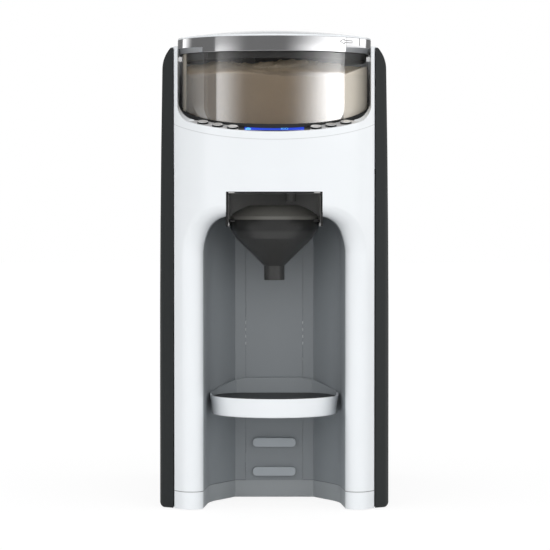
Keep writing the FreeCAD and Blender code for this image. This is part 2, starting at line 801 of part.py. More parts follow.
dock_plan = prism("dock_plan", "XY_Plane", both_sides([
    corner("panel_inner", BULKHEAD),
    corner("panel_inner", f"{REAR} - wall", "tank_turn"),
]), DOCK_BOTTOM, "dock_top")
PORT_FLOOR = "(dock_top - port_depth)"
port = rod("port", (VALVE_X, VALVE_Y), (PORT_FLOOR, "dock_top"), "valve_radius + wall")
nipple = rod("dock_nipple", (VALVE_X, VALVE_Y), (f"{DOCK_BOTTOM} - nipple", DOCK_BOTTOM), "hose_radius")
drain = rod("drain", (VALVE_X, VALVE_Y), (f"{DOCK_BOTTOM} - nipple", PORT_FLOOR), "hose_bore")
piece("tank_dock", cut("tank_dock", fuse("dock_blank", dock_plan, nipple), port, drain))

# Collar: the white surround whose rim slopes back from the front and sweeps up beside the container.
def collar():
    plan = prism("collar_plan", "XY_Plane", both_sides([
        corner(0, FRONT, bow="shell_radius"),
        corner("shell_half", SHELL_BACK),
        corner("shell_half", f"{SHELL_BACK} + panel_step"),
        corner("panel_inner", f"{SHELL_BACK} + panel_step"),
        corner("panel_inner", COVER_FRONT),
    ]), "dock_top", "collar_top")
    well = prism("well", "XY_Plane", both_sides([
        corner(0, f"{AXIS} - well_radius", bow="well_radius"),
        corner("well_radius", AXIS),
        corner("well_radius", REAR),
    ]), "0", "collar_top * 2")
    below = block("below_deck", ("-half_width", "half_width"), (FRONT, BULKHEAD), ("0", "deck_top"))
    under_lip = cut("under_lip", prism("under_seam", "YZ_Plane", [
        corner(FRONT, "0"),
        corner(SHELL_BACK, "0"),
        corner(SHELL_BACK, seam_height(SHELL_BACK)),
        corner(FRONT, seam_height(FRONT)),
    ], "-half_width", "half_width"), rod("lip_core", ("0", AXIS), ("0", "collar_top"), SHELL_INNER))
    return cut("collar", plan, well, below, under_lip, above_rim(), panel_recess(), trough())


def above_rim():
    """The air over the sloping rim: a neckline whose corners sweep up into the side walls."""
    return tilt(prism("above_rim", "XZ_Plane", both_sides([
        corner("neck_half", "0", "neck_turn"),
        corner("neck_half", "collar_top"),
    ]), "-shell_radius", "depth"))


def tilted_slab(label, low, high):
    """A level slice of the tilted panel's plane."""
    outline = both_sides([corner("half_width", "-wall"), corner("half_width", "shell_radius")])
    return tilt(prism(label, "XY_Plane", outline, low, high))


def crescent(label, ahead, behind):
    """The upright crescent of the control panel, taken in by a gap at its front and its back."""
    outer = f"(crescent_radius - {ahead})"
    inner = f"(well_radius + {behind})"
    end = f"(crescent_end - {ahead})"
    tip = f"(crescent_tip - {ahead})"
    back = f"(tip_back + {behind})"
    return prism(label, "XY_Plane", both_sides([
        corner(0, f"{AXIS} - {outer}", bow=outer),
        corner(end, f"{AXIS} - sqrt({outer} ^ 2 - {end} ^ 2)"),
        corner(tip, f"{AXIS} - {back}"),
        corner(f"sqrt({inner} ^ 2 - {back} ^ 2)", f"{AXIS} - {back}", bow=f"-{inner}"),
        corner(0, f"{AXIS} - {inner}"),
    ]), "deck_top", "collar_top")


def panel_recess():
    plate_room = common("plate_room", tilted_slab("plate_slice", "-(panel_sink + panel_plate)", "wall * 4"),
                        crescent("plate_crescent", "0", "0"))
    key_room = common("key_room", tilted_slab("key_slice", "-key_depth", "0"),
                      crescent("key_crescent", "key_room_gap", "well_wall"))
    return fuse("panel_recess", plate_room, key_room)


def trough():
    """The sunk ledge that lets the container show behind the two ends of the panel."""
    ring = rod("trough_ring", ("0", AXIS), ("deck_top", "collar_top"), "well_radius + trough_gap")
    sides = [block("trough_side", span, (f"{AXIS} - tip_back", AXIS), ("deck_top", "collar_top"))
             for span in (("trough_start", "neck_half"), ("-neck_half", "-trough_start"))]
    return common("trough", tilted_slab("trough_slice", "-trough_depth", "wall * 4"), ring,
                  fuse("trough_sides", *sides))


piece("collar", collar())
BUTTONS = [(f"{side} * (button_first + {step} * button_pitch)") for side in (-1, 1) for step in range(3)]


def button_along(across):
    return f"({AXIS} - sqrt(button_ring ^ 2 - ({across}) ^ 2))"


def button_outline():
    cap = "(button_rise - panel_sink)"
    under = "-(panel_sink + panel_plate + button_gap)"
    stem_end = "-(key_depth - board_plate - switch_height - button_travel - run_gap)"
    return [corner(0, stem_end), corner("stem_radius", stem_end),
            corner("stem_radius", f"{under} - button_flange"),
            corner("button_radius + button_brim", f"{under} - button_flange"),
            corner("button_radius + button_brim", under),
            corner("button_radius", under), corner("button_radius", cap, "button_edge"), corner(0, cap)]


def button_hole(number, across):
    hole = body_with_sketch(f"button_hole_{number}", "XZ_Plane", [
        corner(0, "-key_depth"), corner("button_radius + seat", "-key_depth"),
        corner("button_radius + seat", "wall"), corner(0, "wall")])
    return spun(hole, f"button_hole_{number}", across)


def spun(parts, label, across):
    """Turn an outline into a round body that stands square on the tilted panel."""
    body, sketch = parts
    spin = body.newObject("PartDesign::Revolution", f"{label}_turn")
    spin.Profile = sketch
    spin.ReferenceAxis = (sketch, ["V_Axis"])
    spin.Angle = 360
    return tilt(body, across, button_along(across))


for number, across in enumerate(BUTTONS, 1):
    label = f"button_{number}"
    piece(label, spun(body_with_sketch(label, "XZ_Plane", button_outline()), label, across))
WINDOW_LOW = "-(panel_sink + window_plate)"
window_ring = cut("window_ring", rod("window_front", ("0", AXIS), ("deck_top", "collar_top"), "window_outer"),
                  rod("window_back", ("0", AXIS), ("0", "collar_top * 2"), "well_radius + well_wall"))
window_blank = common("window_blank", window_ring, block("window_sides", ("-window_half", "window_half"),
                                                         (FRONT, AXIS), ("deck_top", "collar_top")))
plate = common("plate_blank", tilted_slab("panel_slice", "-(panel_sink + panel_plate)", "-panel_sink"),
               crescent("panel_crescent", "rail_gap", "0"))
piece("control_panel", cut("control_panel", plate, window_blank,
                           *[button_hole(number, across) for number, across in enumerate(BUTTONS, 1)]))
piece("display_window", common("display_window", window_blank,
                               tilted_slab("window_slice", WINDOW_LOW, "-panel_sink")))
BOARD_LOW = "-key_depth"
BOARD_HIGH = "(board_plate - key_depth)"
module_blank = common("module_blank", window_blank,
                      tilted_slab("module_slice", BOARD_HIGH, WINDOW_LOW))
piece("display_module", module_blank)
key_plate = common("key_plate", tilted_slab("board_slice", BOARD_LOW, BOARD_HIGH),
                   crescent("board_crescent", "(wall - well_wall)", "(well_wall + seat)"))


def key_switch(number, across):
    switch = prism(f"switch_{number}", "XY_Plane", both_sides([
        corner("switch_half", "-switch_half"), corner("switch_half", "switch_half")]),
        BOARD_HIGH, f"{BOARD_HIGH} + switch_height")
    return tilt(switch, across, button_along(across))


piece("key_board", fuse("key_board", key_plate,
                        *[key_switch(number, across) for number, across in enumerate(BUTTONS, 1)]))

# Powder container: a clear drum with its floor, dosing wheel, stirrer and twist-lock lid.
piece("hopper", turned("hopper", [
    corner("hopper_radius - hopper_lip", HOPPER_BASE),
    corner("hopper_radius", HOPPER_BASE, "hopper_edge"),
    corner("hopper_radius", "hopper_top"),
    corner("hopper_radius - wall", "hopper_top"),
    corner("hopper_radius - wall", FLOOR_BOTTOM),
    corner("hopper_radius - hopper_lip", FLOOR_BOTTOM),
], along=AXIS))
hub_hole = rod("hub_hole", ("0", AXIS), (FLOOR_BOTTOM, FLOOR_TOP), "hub_radius + seat")
outlet = rod("outlet", ("0", POUR), (FLOOR_BOTTOM, FLOOR_TOP), "outlet_radius")
floor_disc = rod("floor_disc", ("0", AXIS), (FLOOR_BOTTOM, FLOOR_TOP), "hopper_radius - wall - press_gap")
piece("hopper_floor", cut("hopper_floor", floor_disc, hub_hole, outlet))
WHEEL_LOW = f"({FLOOR_TOP} + seat)"
WHEEL_HIGH = f"({WHEEL_LOW} + wheel_plate)"
hub = rod("hub", ("0", AXIS), (f"{HOPPER_BASE} + seat", "hub_top"), "hub_radius")
socket_half = "(dog_side / 2 + dog_gap)"
socket = block("hub_socket", (f"-{socket_half}", socket_half),
               (f"{AXIS} - {socket_half}", f"{AXIS} + {socket_half}"),
               (HOPPER_BASE, "deck_top + seat + dog_height + 2 * seat"))


POCKETS = 6


def wheel_pocket(number):
    angle = f"({number * 360 / POCKETS} - 90)"
    centre = (f"pour_ahead * cos({angle})",
              f"{AXIS} + pour_ahead * sin({angle})")
    return rod("wheel_pocket", centre, (WHEEL_LOW, WHEEL_HIGH), "pocket_radius")


wheel_disc = rod("wheel_disc", ("0", AXIS), (WHEEL_LOW, WHEEL_HIGH), "wheel_radius")
wheel_bore = rod("wheel_bore", ("0", AXIS), (WHEEL_LOW, WHEEL_HIGH), "hub_radius")
piece("dosing_wheel", cut("dosing_wheel", wheel_disc, wheel_bore,
                          *[wheel_pocket(number) for number in range(POCKETS)]))
ARM_LOW = f"({WHEEL_HIGH} + seat)"


def stirrer():
    arm = prism("stirrer_arm", "XY_Plane", both_sides([
        corner("arm_half", "-arm_width / 2", "arm_width * round_share"),
        corner("arm_half", "arm_width / 2", "arm_width * round_share")]), ARM_LOW, f"{ARM_LOW} + arm_plate")
    blade = prism("stirrer_blade", "XY_Plane", [
        corner("blade_ring - blade_plate / 2", "-blade_width / 2"),
        corner("blade_ring + blade_plate / 2", "-blade_width / 2"),
        corner("blade_ring + blade_plate / 2", "blade_width / 2"),
        corner("blade_ring - blade_plate / 2", "blade_width / 2")], ARM_LOW, "blade_top")
    for part in (arm, blade):
        turn = FreeCAD.Rotation(FreeCAD.Vector(0, 0, 1), amount_of("stirrer_angle"))
        part.Placement = FreeCAD.Placement(FreeCAD.Vector(), turn)
        bind(part, "Placement.Rotation.Angle", "stirrer_angle")
        bind(part, "Placement.Base.y", AXIS)
    return cut("stirrer", fuse("stirrer_blank", hub, arm, blade), socket)


piece("stirrer", stirrer())
LID_INNER = "(band_radius - band_wall)"
SKIRT_LOW = f"({BAND_TOP} - lid_skirt)"
crown = "(((band_radius - seat) ^ 2 + (lid_height - lid_edge) ^ 2) / (2 * (lid_height - lid_edge)))"
piece("hopper_lid", turned("hopper_lid", [
    corner(0, f"{BAND_TOP} - wall"),
    corner(f"{LID_INNER} - wall", f"{BAND_TOP} - wall"),
    corner(f"{LID_INNER} - wall", SKIRT_LOW),
    corner(LID_INNER, SKIRT_LOW),
    corner(LID_INNER, BAND_TOP),
    corner("band_radius - seat", BAND_TOP),
    corner("band_radius - seat", f"{BAND_TOP} + lid_edge", bow=crown),
    corner(0, f"{BAND_TOP} + lid_height"),
], along=AXIS))
piece("lid_band", turned("lid_band", [
    corner(LID_INNER, BAND_BASE),
    corner("band_radius", BAND_BASE),
    corner("band_radius", BAND_TOP),
    corner(LID_INNER, BAND_TOP),
], along=AXIS))
SEAL_INNER = "(hopper_radius - wall - seat - seal_width)"
piece("lid_seal", turned("lid_seal", [
    corner(SEAL_INNER, "hopper_top - seal_depth"),
    corner("hopper_radius - wall - seat", "hopper_top - seal_depth"),
    corner("hopper_radius - wall - seat", BAND_BASE),
    corner(f"{LID_INNER} - seat", BAND_BASE),
    corner(f"{LID_INNER} - seat", f"{SKIRT_LOW} - seat"),
    corner(SEAL_INNER, f"{SKIRT_LOW} - seat"),
], along=AXIS))

# Powder drive: the motor's pinion, an idler and the output gear whose dog turns the stirrer.
# The teeth have a 20 degree pressure angle and a root 1.25 modules deep.
PRESSURE_ANGLE, ROOT_MODULES, BACKLASH_MODULES, FLANK_STEPS = 20, 1.25, 0.05, 4


def gear(label, teeth, along, half_step, bore=None):
    """A spur gear with true involute flanks, thinned a little for backlash."""
    count = int(round(amount_of(teeth)))
    module = amount_of("tooth_module")
    pitch = module * count / 2
    base = pitch * math.cos(math.radians(PRESSURE_ANGLE))
    tip = pitch + module
    root = pitch - ROOT_MODULES * module
    backlash = BACKLASH_MODULES * module / pitch
    lean = math.tan(math.acos(base / pitch)) - math.acos(base / pitch)
    half_tooth = math.pi / (2 * count) - backlash + lean
    flank = []
    for step in range(FLANK_STEPS + 1):
        reach = max(base, root) + (tip - max(base, root)) * step / FLANK_STEPS
        slip = math.acos(base / reach)
        flank.append((reach, half_tooth - (math.tan(slip) - slip)))
    spots = []
    for tooth in range(count):
        middle = 2 * math.pi * (tooth + half_step) / count - math.pi / 2
        for reach, away in [(root, flank[0][1])] + flank:
            spots.append((reach, middle - away))
        for reach, away in reversed([(root, flank[0][1])] + flank):
            spots.append((reach, middle + away))
    wire = [FreeCAD.Vector(reach * math.cos(angle), reach * math.sin(angle), 0) for reach, angle in spots]
    face = Part.Face(Part.makePolygon(wire + wire[:1]))
    result = doc.addObject("Part::Feature", label)
    result.Shape = face.extrude(FreeCAD.Vector(0, 0, amount_of("gear_width")))
    bind(result, "Placement.Base.y", along)
    bind(result, "Placement.Base.z", GEAR_FLOOR)
    if bore:
        return cut(f"{label}_bored", result, rod(f"{label}_bore", ("0", along), (GEAR_FLOOR, GEAR_TOP), bore))
    return result


dog = block("dog", ("-dog_side / 2", "dog_side / 2"), (f"{AXIS} - dog_side / 2", f"{AXIS} + dog_side / 2"),
            ("deck_top", f"{HOPPER_BASE} + dog_height"))
output_shaft = rod("output_shaft", ("0", AXIS), (GEAR_TOP, "deck_top"), "output_shaft")
output_pin = rod("output_pin", ("0", AXIS), (f"{BAY_ROOF} + seat", GEAR_FLOOR), "output_pin")
piece("output_gear", fuse("output_gear", gear("output_teeth_ring", "output_teeth", AXIS, 0.5),
                          output_shaft, output_pin, dog))
piece("idler_gear", gear("idler_teeth_ring", "idler_teeth", IDLER, 0, "gear_pin + run_gap"))
motor_bore_low = f"({BAY_ROOF} - nipple)"
pinion_shaft = rod("pinion_shaft", ("0", PINION), (f"{motor_bore_low} + seat", GEAR_FLOOR), "motor_shaft")
piece("motor_pinion", fuse("motor_pinion", gear("pinion_teeth_ring", "pinion_teeth", PINION, 0.5),
                           pinion_shaft))
motor_can = rod("motor_can", ("0", PINION), (f"{BAY_ROOF} - motor_length", BAY_ROOF), "motor_radius")
motor_bore = rod("motor_bore", ("0", PINION), (motor_bore_low, BAY_ROOF), "motor_shaft + run_gap")
piece("powder_motor", cut("powder_motor", motor_can, motor_bore))
gear_base = block("gear_base", ("-gear_base_half", "gear_base_half"),
                  (f"{POUR} - {CHUTE} - wall", f"{PINION} + motor_radius + wall"),
                  (BAY_ROOF, f"{BAY_ROOF} + gear_plate"))
idler_pin = rod("idler_pin", ("0", IDLER), (BAY_ROOF, f"{GEAR_TOP} + seat"), "gear_pin")
NOZZLE = ("nozzle_right", f"{POUR} + nozzle_ahead")
nozzle_low = "(bay_top - nozzle_reach)"
nozzle_rod = rod("nozzle_rod", NOZZLE, (nozzle_low, "deck_top - deck_plate - wall"), "nozzle_radius")
nozzle_bore = rod("nozzle_bore", NOZZLE, (nozzle_low, f"{GEAR_FLOOR} + wall"), "nozzle_radius / 2")
piece("gear_plate", fuse("gear_plate", cut(
    "gear_plate_drilled",
    gear_base,
    chute_outside,
    nozzle_rod,
    rod("output_bearing", ("0", AXIS), (BAY_ROOF, GEAR_FLOOR), "output_pin + run_gap"),
    rod("pinion_hole", ("0", PINION), (BAY_ROOF, GEAR_FLOOR), "motor_shaft + 2 * wall"),
), idler_pin))
piece("water_nozzle", cut("water_nozzle", nozzle_rod, nozzle_bore))

# Funnel bay: the dark frame under the gears that the funnel slides into.
def funnel_bay():
    lip = common("bay_lip", block("bay_lip_box", ("-(bay_half + bay_lip)", "bay_half + bay_lip"),
                                  (FRONT, POUR), ("bay_bottom", "bay_top + bay_lip")),
                 rod("bay_lip_front", ("0", AXIS), ("0", "collar_top"), "shell_radius - bay_lip / 2"))
    room = block("bay_room", ("-bay_half", "bay_half"), (FRONT, BAY_BACK),
                 ("0", "bay_top"))
    ledges = [block("bay_ledge", sides, (f"{POUR} - funnel_radius", BAY_BACK),
                    ("bay_bottom", "bay_bottom + ledge_height"))
              for sides in (("bay_half - ledge", "bay_half"), ("-bay_half", "ledge - bay_half"))]
    frame = cut("bay_frame", fuse("bay_solid", bay_space, lip), room, chute_outside, nozzle_rod)
    return fuse("funnel_bay", frame, *ledges)


piece("funnel_bay", funnel_bay())
piece("funnel_switch", block("funnel_switch", ("-switch_case_half", "switch_case_half"),
                             (f"{BAY_BACK} + wall", f"{BAY_BACK} + wall + switch_case_depth"),
                             ("bay_top - switch_case_height", "bay_top")))
FUNNEL_NECK = "(funnel_rim - funnel_neck_drop)"
SPOUT_TOP = "(funnel_rim - spout_top_drop)"
SPOUT_END = "(funnel_rim - spout_drop)"


def funnel():
    outside = [
        corner(0, SPOUT_END),
        corner("spout_radius", SPOUT_END),
        corner("spout_radius", SPOUT_TOP),
        corner("funnel_neck_radius", FUNNEL_NECK, "spout_radius"),
        corner("funnel_radius", "funnel_rim - funnel_skirt"),
        corner("funnel_radius", "funnel_rim"),
        corner(0, "funnel_rim"),
    ]
    inside = [
        corner(0, SPOUT_END),
        corner("spout_radius - funnel_wall", SPOUT_END),
        corner("spout_radius - funnel_wall", f"{SPOUT_TOP} + funnel_wall / 2"),
        corner("funnel_neck_radius - funnel_wall", f"{FUNNEL_NECK} + funnel_wall / 2", "spout_radius"),
        corner("funnel_radius - funnel_wall", "funnel_rim - funnel_skirt"),
        corner("funnel_radius - funnel_wall", "funnel_rim"),
        corner(0, "funnel_rim"),
    ]
    bowl = turned("funnel_inside", inside, along=POUR)
    ears = block("funnel_ears", ("-(bay_half - seat)", "bay_half - seat"),
                 (f"{POUR} - ear_half", f"{POUR} + ear_half"), ("funnel_rim - ear_height", "funnel_rim"))
    return cut("funnel", fuse("funnel_blank", turned("funnel_outside", outside, along=POUR), ears), bowl)


piece("funnel", funnel())
cover_bow = "cover_arch"
piece("funnel_cover", turned("funnel_cover", [
    corner("funnel_radius - funnel_wall", "funnel_rim"),
    corner("funnel_radius", "funnel_rim"),
    corner("funnel_radius", "funnel_rim + cover_edge", bow=cover_bow),
    corner("cover_mouth", "funnel_rim + cover_rise"),
    corner("cover_mouth", "funnel_rim + cover_rise - funnel_wall", bow=f"-({cover_bow} - funnel_wall)"),
    corner("funnel_radius - funnel_wall", "funnel_rim + cover_edge - funnel_wall / 2"),
], along=POUR))

# Bottle stand: a white ring with a dark insert, hooked on a peg by its rear bracket.
STAND_REAR = f"({NICHE_BACK} - wall_gap)"
RECESS = f"({STAND_TOP} - insert_drop - insert_plate - insert_gap)"
RIM_STEP = f"({STAND_TOP} - insert_drop - insert_plate)"


def insert_plan(label, gap, low, high):
    disc = rod(f"{label}_disc", ("0", POUR), (low, high), f"insert_radius + {gap}")
    rear = block(f"{label}_rear", ("-stand_radius", "stand_radius"),
                 (f"{STAND_REAR} - bracket_depth - wall_gap + {gap}", REAR), (low, high))
    return cut(label, disc, rear)


def stand_frame():
    ring = turned("stand_ring", [
        corner(0, "stand_bottom"),
        corner("stand_radius - stand_taper", "stand_bottom", "stand_edge"),
        corner("stand_radius", STAND_TOP),
        corner(0, STAND_TOP),
    ], along=POUR)
    hollow = rod("stand_hollow", ("0", POUR), ("stand_bottom", f"{RECESS} - wall"),
                 "stand_radius - stand_taper - wall")
    rear = block("stand_rear", ("-stand_radius", "stand_radius"), (STAND_REAR, REAR),
                 ("stand_bottom", STAND_TOP))
    recess = insert_plan("insert_recess", "insert_gap", RECESS, STAND_TOP)
    rim = block("stand_rear_rim", ("-stand_radius", "stand_radius"), (POUR, REAR), (RIM_STEP, STAND_TOP))
    return cut("stand_frame", ring, hollow, rear, recess, rim)


piece("stand_frame", stand_frame())
piece("stand_insert", insert_plan("stand_insert", "0", f"{RECESS} + insert_gap",
                                  f"{STAND_TOP} - insert_drop"))


def stand_bracket():
    top = f"({STAND_TOP} + bracket_rise)"
    ring = cut("bracket_ring", rod("bracket_outer", ("0", POUR), (RIM_STEP, top), "stand_radius"),
               rod("bracket_inner", ("0", POUR), (RIM_STEP, top), "insert_radius + insert_gap"))
    hook = common("bracket_hook", rod("hook_round", ("0", POUR), (RIM_STEP, top), "stand_radius"),
                  block("hook_depth", ("-stand_radius", "stand_radius"),
                        (f"{STAND_REAR} - bracket_depth", STAND_REAR), (RIM_STEP, top)))
    rise = prism("bracket_rise_side", "XZ_Plane", both_sides([
        corner("stand_radius", RIM_STEP),
        corner("stand_radius", f"{STAND_TOP} + bracket_side_rise"),
        corner("bracket_knee", f"{STAND_TOP} + bracket_knee_rise"),
        corner("bracket_half", top),
    ]), POUR, STAND_REAR)
    peg_low = f"(peg_first + {PEGS - 1} * peg_pitch)"
    slot = block("peg_slot", ("-(peg_half + seat)", "peg_half + seat"),
                 (f"{NICHE_BACK} - peg_reach - seat", NICHE_BACK),
                 (f"{peg_low} - seat", f"{peg_low} + peg_height + seat"))
    return cut("stand_bracket", common("bracket_blank", fuse("bracket_parts", ring, hook), rise), slot)


piece("stand_bracket", stand_bracket())

# Water side: the tank on its dock, the pump and heater below, and the hoses between them.
def tank_solid(label, gap, low, high):
    return prism(label, "XY_Plane", both_sides([
        corner(f"tank_half - {gap}", f"{BULKHEAD} + bulkhead_plate + tank_gap + {gap}", f"tank_turn - {gap}"),
        corner(f"tank_half - {gap}", f"{REAR} - wall - seat - {gap}", f"tank_turn - {gap}"),
    ]), low, high)


FLOW_HOLES = 6


def flow_hole(number):
    angle = number * 360 / FLOW_HOLES
    centre = (f"{VALVE_X} + (valve_radius + valve_stem) / 2 * cos({angle})",
              f"{VALVE_Y} + (valve_radius + valve_stem) / 2 * sin({angle})")
    return rod("flow_hole", centre, (TANK_BASE, f"{TANK_BASE} + wall"), "flow_radius")


piece("water_tank", cut(
    "water_tank",
    tank_solid("tank_outside", "0", TANK_BASE, "tank_top"),
    tank_solid("tank_inside", "wall", f"{TANK_BASE} + wall", "collar_top"),
    rod("stem_hole", (VALVE_X, VALVE_Y), (TANK_BASE, f"{TANK_BASE} + wall"), "valve_stem + run_gap"),
    *[flow_hole(number) for number in range(FLOW_HOLES)],
))
lid_low = "(tank_top + seat)"
piece("tank_lid", fuse("tank_lid", tank_solid("tank_lid_plate", "0", lid_low, f"{lid_low} + tank_lid_plate"),
                       tank_solid("tank_lid_plug", "(wall + seat)", "tank_top - tank_plug", lid_low)))
valve_low = f"({TANK_BASE} + wall + seat)"
piece("tank_valve", fuse(
    "tank_valve",
    rod("valve_disc", (VALVE_X, VALVE_Y), (valve_low, f"{valve_low} + wall"), "valve_radius"),
    rod("valve_stem", (VALVE_X, VALVE_Y), (f"{TANK_BASE} - valve_reach", valve_low), "valve_stem"),
))
PUMP_Y = VALVE_Y
PUMP_FRONT = f"({PUMP_Y} - pump_half)"
HEATER = ("heater_right", f"{NICHE_BACK} + heater_behind")
HEATER_TOP = f"({BASE_TOP} + heater_height)"
PUMP_TOP = f"({BASE_TOP} + pump_height)"
PUMP_INLET = f"({PUMP_TOP} + nipple)"
HOSE_UP = "(foot_height + hose_level)"
piece("pump", fuse(
    "pump",
    block("pump_case", (f"{VALVE_X} - pump_half", f"{VALVE_X} + pump_half"),
          (PUMP_FRONT, f"{PUMP_Y} + pump_half"), (BASE_TOP, PUMP_TOP)),
    rod("pump_inlet", (VALVE_X, VALVE_Y), (PUMP_TOP, PUMP_INLET), "hose_radius"),
    rod("pump_outlet", (VALVE_X, HOSE_UP), (f"{PUMP_FRONT} - nipple", PUMP_FRONT), "hose_radius", "y"),
))
HEATER_SIDE = "(heater_right - heater_radius)"
piece("heater", fuse(
    "heater",
    rod("heater_can", HEATER, (BASE_TOP, HEATER_TOP), "heater_radius"),
    rod("heater_outlet", HEATER, (HEATER_TOP, f"{HEATER_TOP} + nipple"), "hose_radius"),
    rod("heater_inlet", (HEATER[1], HOSE_UP), (f"{HEATER_SIDE} - nipple", "heater_right"), "hose_radius",
        "x"),
))
piece("feed_hose", cut(
    "feed_hose",
    rod("feed_hose_outside", (VALVE_X, VALVE_Y), (PUMP_INLET, f"{DOCK_BOTTOM} - nipple"), "hose_radius"),
    rod("feed_hose_inside", (VALVE_X, VALVE_Y), (PUMP_INLET, f"{DOCK_BOTTOM} - nipple"), "hose_bore"),
))


def bent_hose(label, route, radius, turn):
    """A hose swept along straight runs joined by arcs of one radius."""
    spots = [FreeCAD.Vector(*[amount_of(text) for text in spot]) for spot in route]
    edges = []
    here = spots[0]
    for before, bend, after in zip(spots, spots[1:], spots[2:]):
        back = (before - bend).normalize()
        ahead = (after - bend).normalize()
        half = back.getAngle(ahead) / 2
        run = amount_of(turn) / math.tan(half)
        enter = bend + back * run
        leave = bend + ahead * run
        inner = (back + ahead).normalize()
        middle = bend + inner * (amount_of(turn) / math.sin(half) - amount_of(turn))
        edges.append(Part.makeLine(here, enter))
        edges.append(Part.Arc(enter, middle, leave).toShape())
        here = leave
    edges.append(Part.makeLine(here, spots[-1]))
    path = Part.Wire(edges)
    ring = Part.Wire(Part.makeCircle(amount_of(radius), spots[0], spots[1] - spots[0]))
    hose = doc.addObject("Part::Feature", label)
    hose.Shape = path.makePipeShell([ring], True, True)
    return hose


piece("heater_hose", bent_hose("heater_hose", [
    (VALVE_X, f"{PUMP_FRONT} - nipple", HOSE_UP),
    (VALVE_X, HEATER[1], HOSE_UP),
    (f"{HEATER_SIDE} - nipple", HEATER[1], HOSE_UP),
], "hose_radius", "hose_turn"))
SPOUT_UP = f"({GEAR_FLOOR} + gear_width / 2)"
piece("spout_hose", cut("spout_hose", bent_hose("spout_hose_blank", [
    (HEATER[0], HEATER[1], f"{HEATER_TOP} + nipple"),
    (HEATER[0], HEATER[1], SPOUT_UP),
    (NOZZLE[0], NOZZLE[1], SPOUT_UP),
], "spout_hose", "hose_turn"), nozzle_rod))
board = block("board", ("-board_half", "board_half"), (f"{BOARD_BACK} - board_plate", BOARD_BACK),
              ("board_bottom", "board_bottom + board_height"))
part_front = f"({BOARD_BACK} - board_plate - relay_depth)"
relays = [block("relay", (f"-board_half + relay_pitch * {number} + wall",
                          f"-board_half + relay_pitch * {number} + wall + relay_width"),
                (part_front, f"{BOARD_BACK} - board_plate"),
                ("board_bottom + board_height / 2", "board_bottom + board_height / 2 + relay_width"))
          for number in range(4)]
piece("main_board", fuse("main_board", board, *relays))


def report_faults():
    """Every feature that failed, and every piece whose shape is not sound."""
    faults = [thing.Label for thing in doc.Objects if {"Invalid", "Error"} & set(thing.State)]
    for part in pieces:
        if part.Shape.isNull() or not part.Shape.isValid() or part.Shape.Volume <= 0:
            faults.append(part.Label)
    return faults


doc.recompute()
faults = report_faults()
if faults:
    raise RuntimeError("these did not build: " + ", ".join(faults))
os.makedirs("parts", exist_ok=True)
for part in pieces:
    part.Shape.exportStep(f"parts/{part.Label}.step")
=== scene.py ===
"""Baby formula maker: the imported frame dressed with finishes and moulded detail."""
import math

import bmesh
import bpy
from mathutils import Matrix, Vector, noise


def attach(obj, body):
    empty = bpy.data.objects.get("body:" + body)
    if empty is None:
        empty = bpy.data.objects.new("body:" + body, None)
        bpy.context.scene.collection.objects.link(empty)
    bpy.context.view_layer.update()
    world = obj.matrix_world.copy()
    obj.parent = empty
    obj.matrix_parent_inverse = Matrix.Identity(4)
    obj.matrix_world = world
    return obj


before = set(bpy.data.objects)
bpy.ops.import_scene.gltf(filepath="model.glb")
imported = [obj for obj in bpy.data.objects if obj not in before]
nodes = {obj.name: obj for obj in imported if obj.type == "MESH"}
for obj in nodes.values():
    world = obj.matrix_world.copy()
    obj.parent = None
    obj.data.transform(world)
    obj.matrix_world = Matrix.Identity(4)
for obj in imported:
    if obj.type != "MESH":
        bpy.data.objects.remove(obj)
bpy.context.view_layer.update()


# --- White body -------------------------------------------------------------------------------
# Front shell, its two skirt pieces and the collar round the powder drum: injection-moulded white
# ABS with a polished mould face, snapped and screwed to the inner plates from behind.

class Wire:
    """A socket in one finish's nodes. Arithmetic on it adds the Math node that works it out."""

    def __init__(self, tree, socket):
        self.tree = tree
        self.socket = socket

    def node(self, kind, settings, inputs, output=0):
        """Adds a node: its settings are set first, then the values or links of its sockets."""
        made = self.tree.nodes.new(kind)
        for name, value in settings.items():
            setattr(made, name, value)
        for name, value in inputs.items():
            if isinstance(value, Wire):
                self.tree.links.new(value.socket, made.inputs[name])
            else:
                made.inputs[name].default_value = value
        return Wire(self.tree, made.outputs[output])

    def maths(self, operation, *values):
        return self.node("ShaderNodeMath", {"operation": operation}, dict(enumerate(values)))

    def __add__(self, other):
        return self.maths("ADD", self, other)

    __radd__ = __add__

    def __sub__(self, other):
        return self.maths("SUBTRACT", self, other)

    def __rsub__(self, other):
        return self.maths("SUBTRACT", other, self)

    def __mul__(self, other):
        return self.maths("MULTIPLY", self, other)

    __rmul__ = __mul__

    def away(self):
        """How far a number lies from 0, on either side."""
        return self.maths("ABSOLUTE", self)

    def either(self, other):
        """The higher of two numbers, which joins two masks."""
        return self.maths("MAXIMUM", self, other)

    def part(self, axis):
        """One of the three numbers of a place: 0 is X, 1 is Y and 2 is Z."""
        return self.node("ShaderNodeSeparateXYZ", {}, {0: self}, axis)

    def noise(self, scale, detail=2.0, rough=0.5):
        """Soft noise from 0 to 1 at a place, with scale features to the metre."""
        return self.node("ShaderNodeTexNoise", {}, {"Vector": self, "Scale": scale,
                                                    "Detail": detail, "Roughness": rough})

    def step(self, low, high):
        """0 below low and 1 above high, smooth between them."""
        return self.node("ShaderNodeMapRange", {"interpolation_type": "SMOOTHSTEP"},
                         {"Value": self, "From Min": low, "From Max": high})

    def past(self, level):
        """1 past a level and 0 before it, with the crisp edge of a painted or moulded line."""
        return self.step(level, level + 0.0002)

    def blend(self, first, second):
        """A colour between two, by this mask."""
        return self.node("ShaderNodeMix", {"data_type": "RGBA"}, {0: self, 6: first, 7: second}, 2)


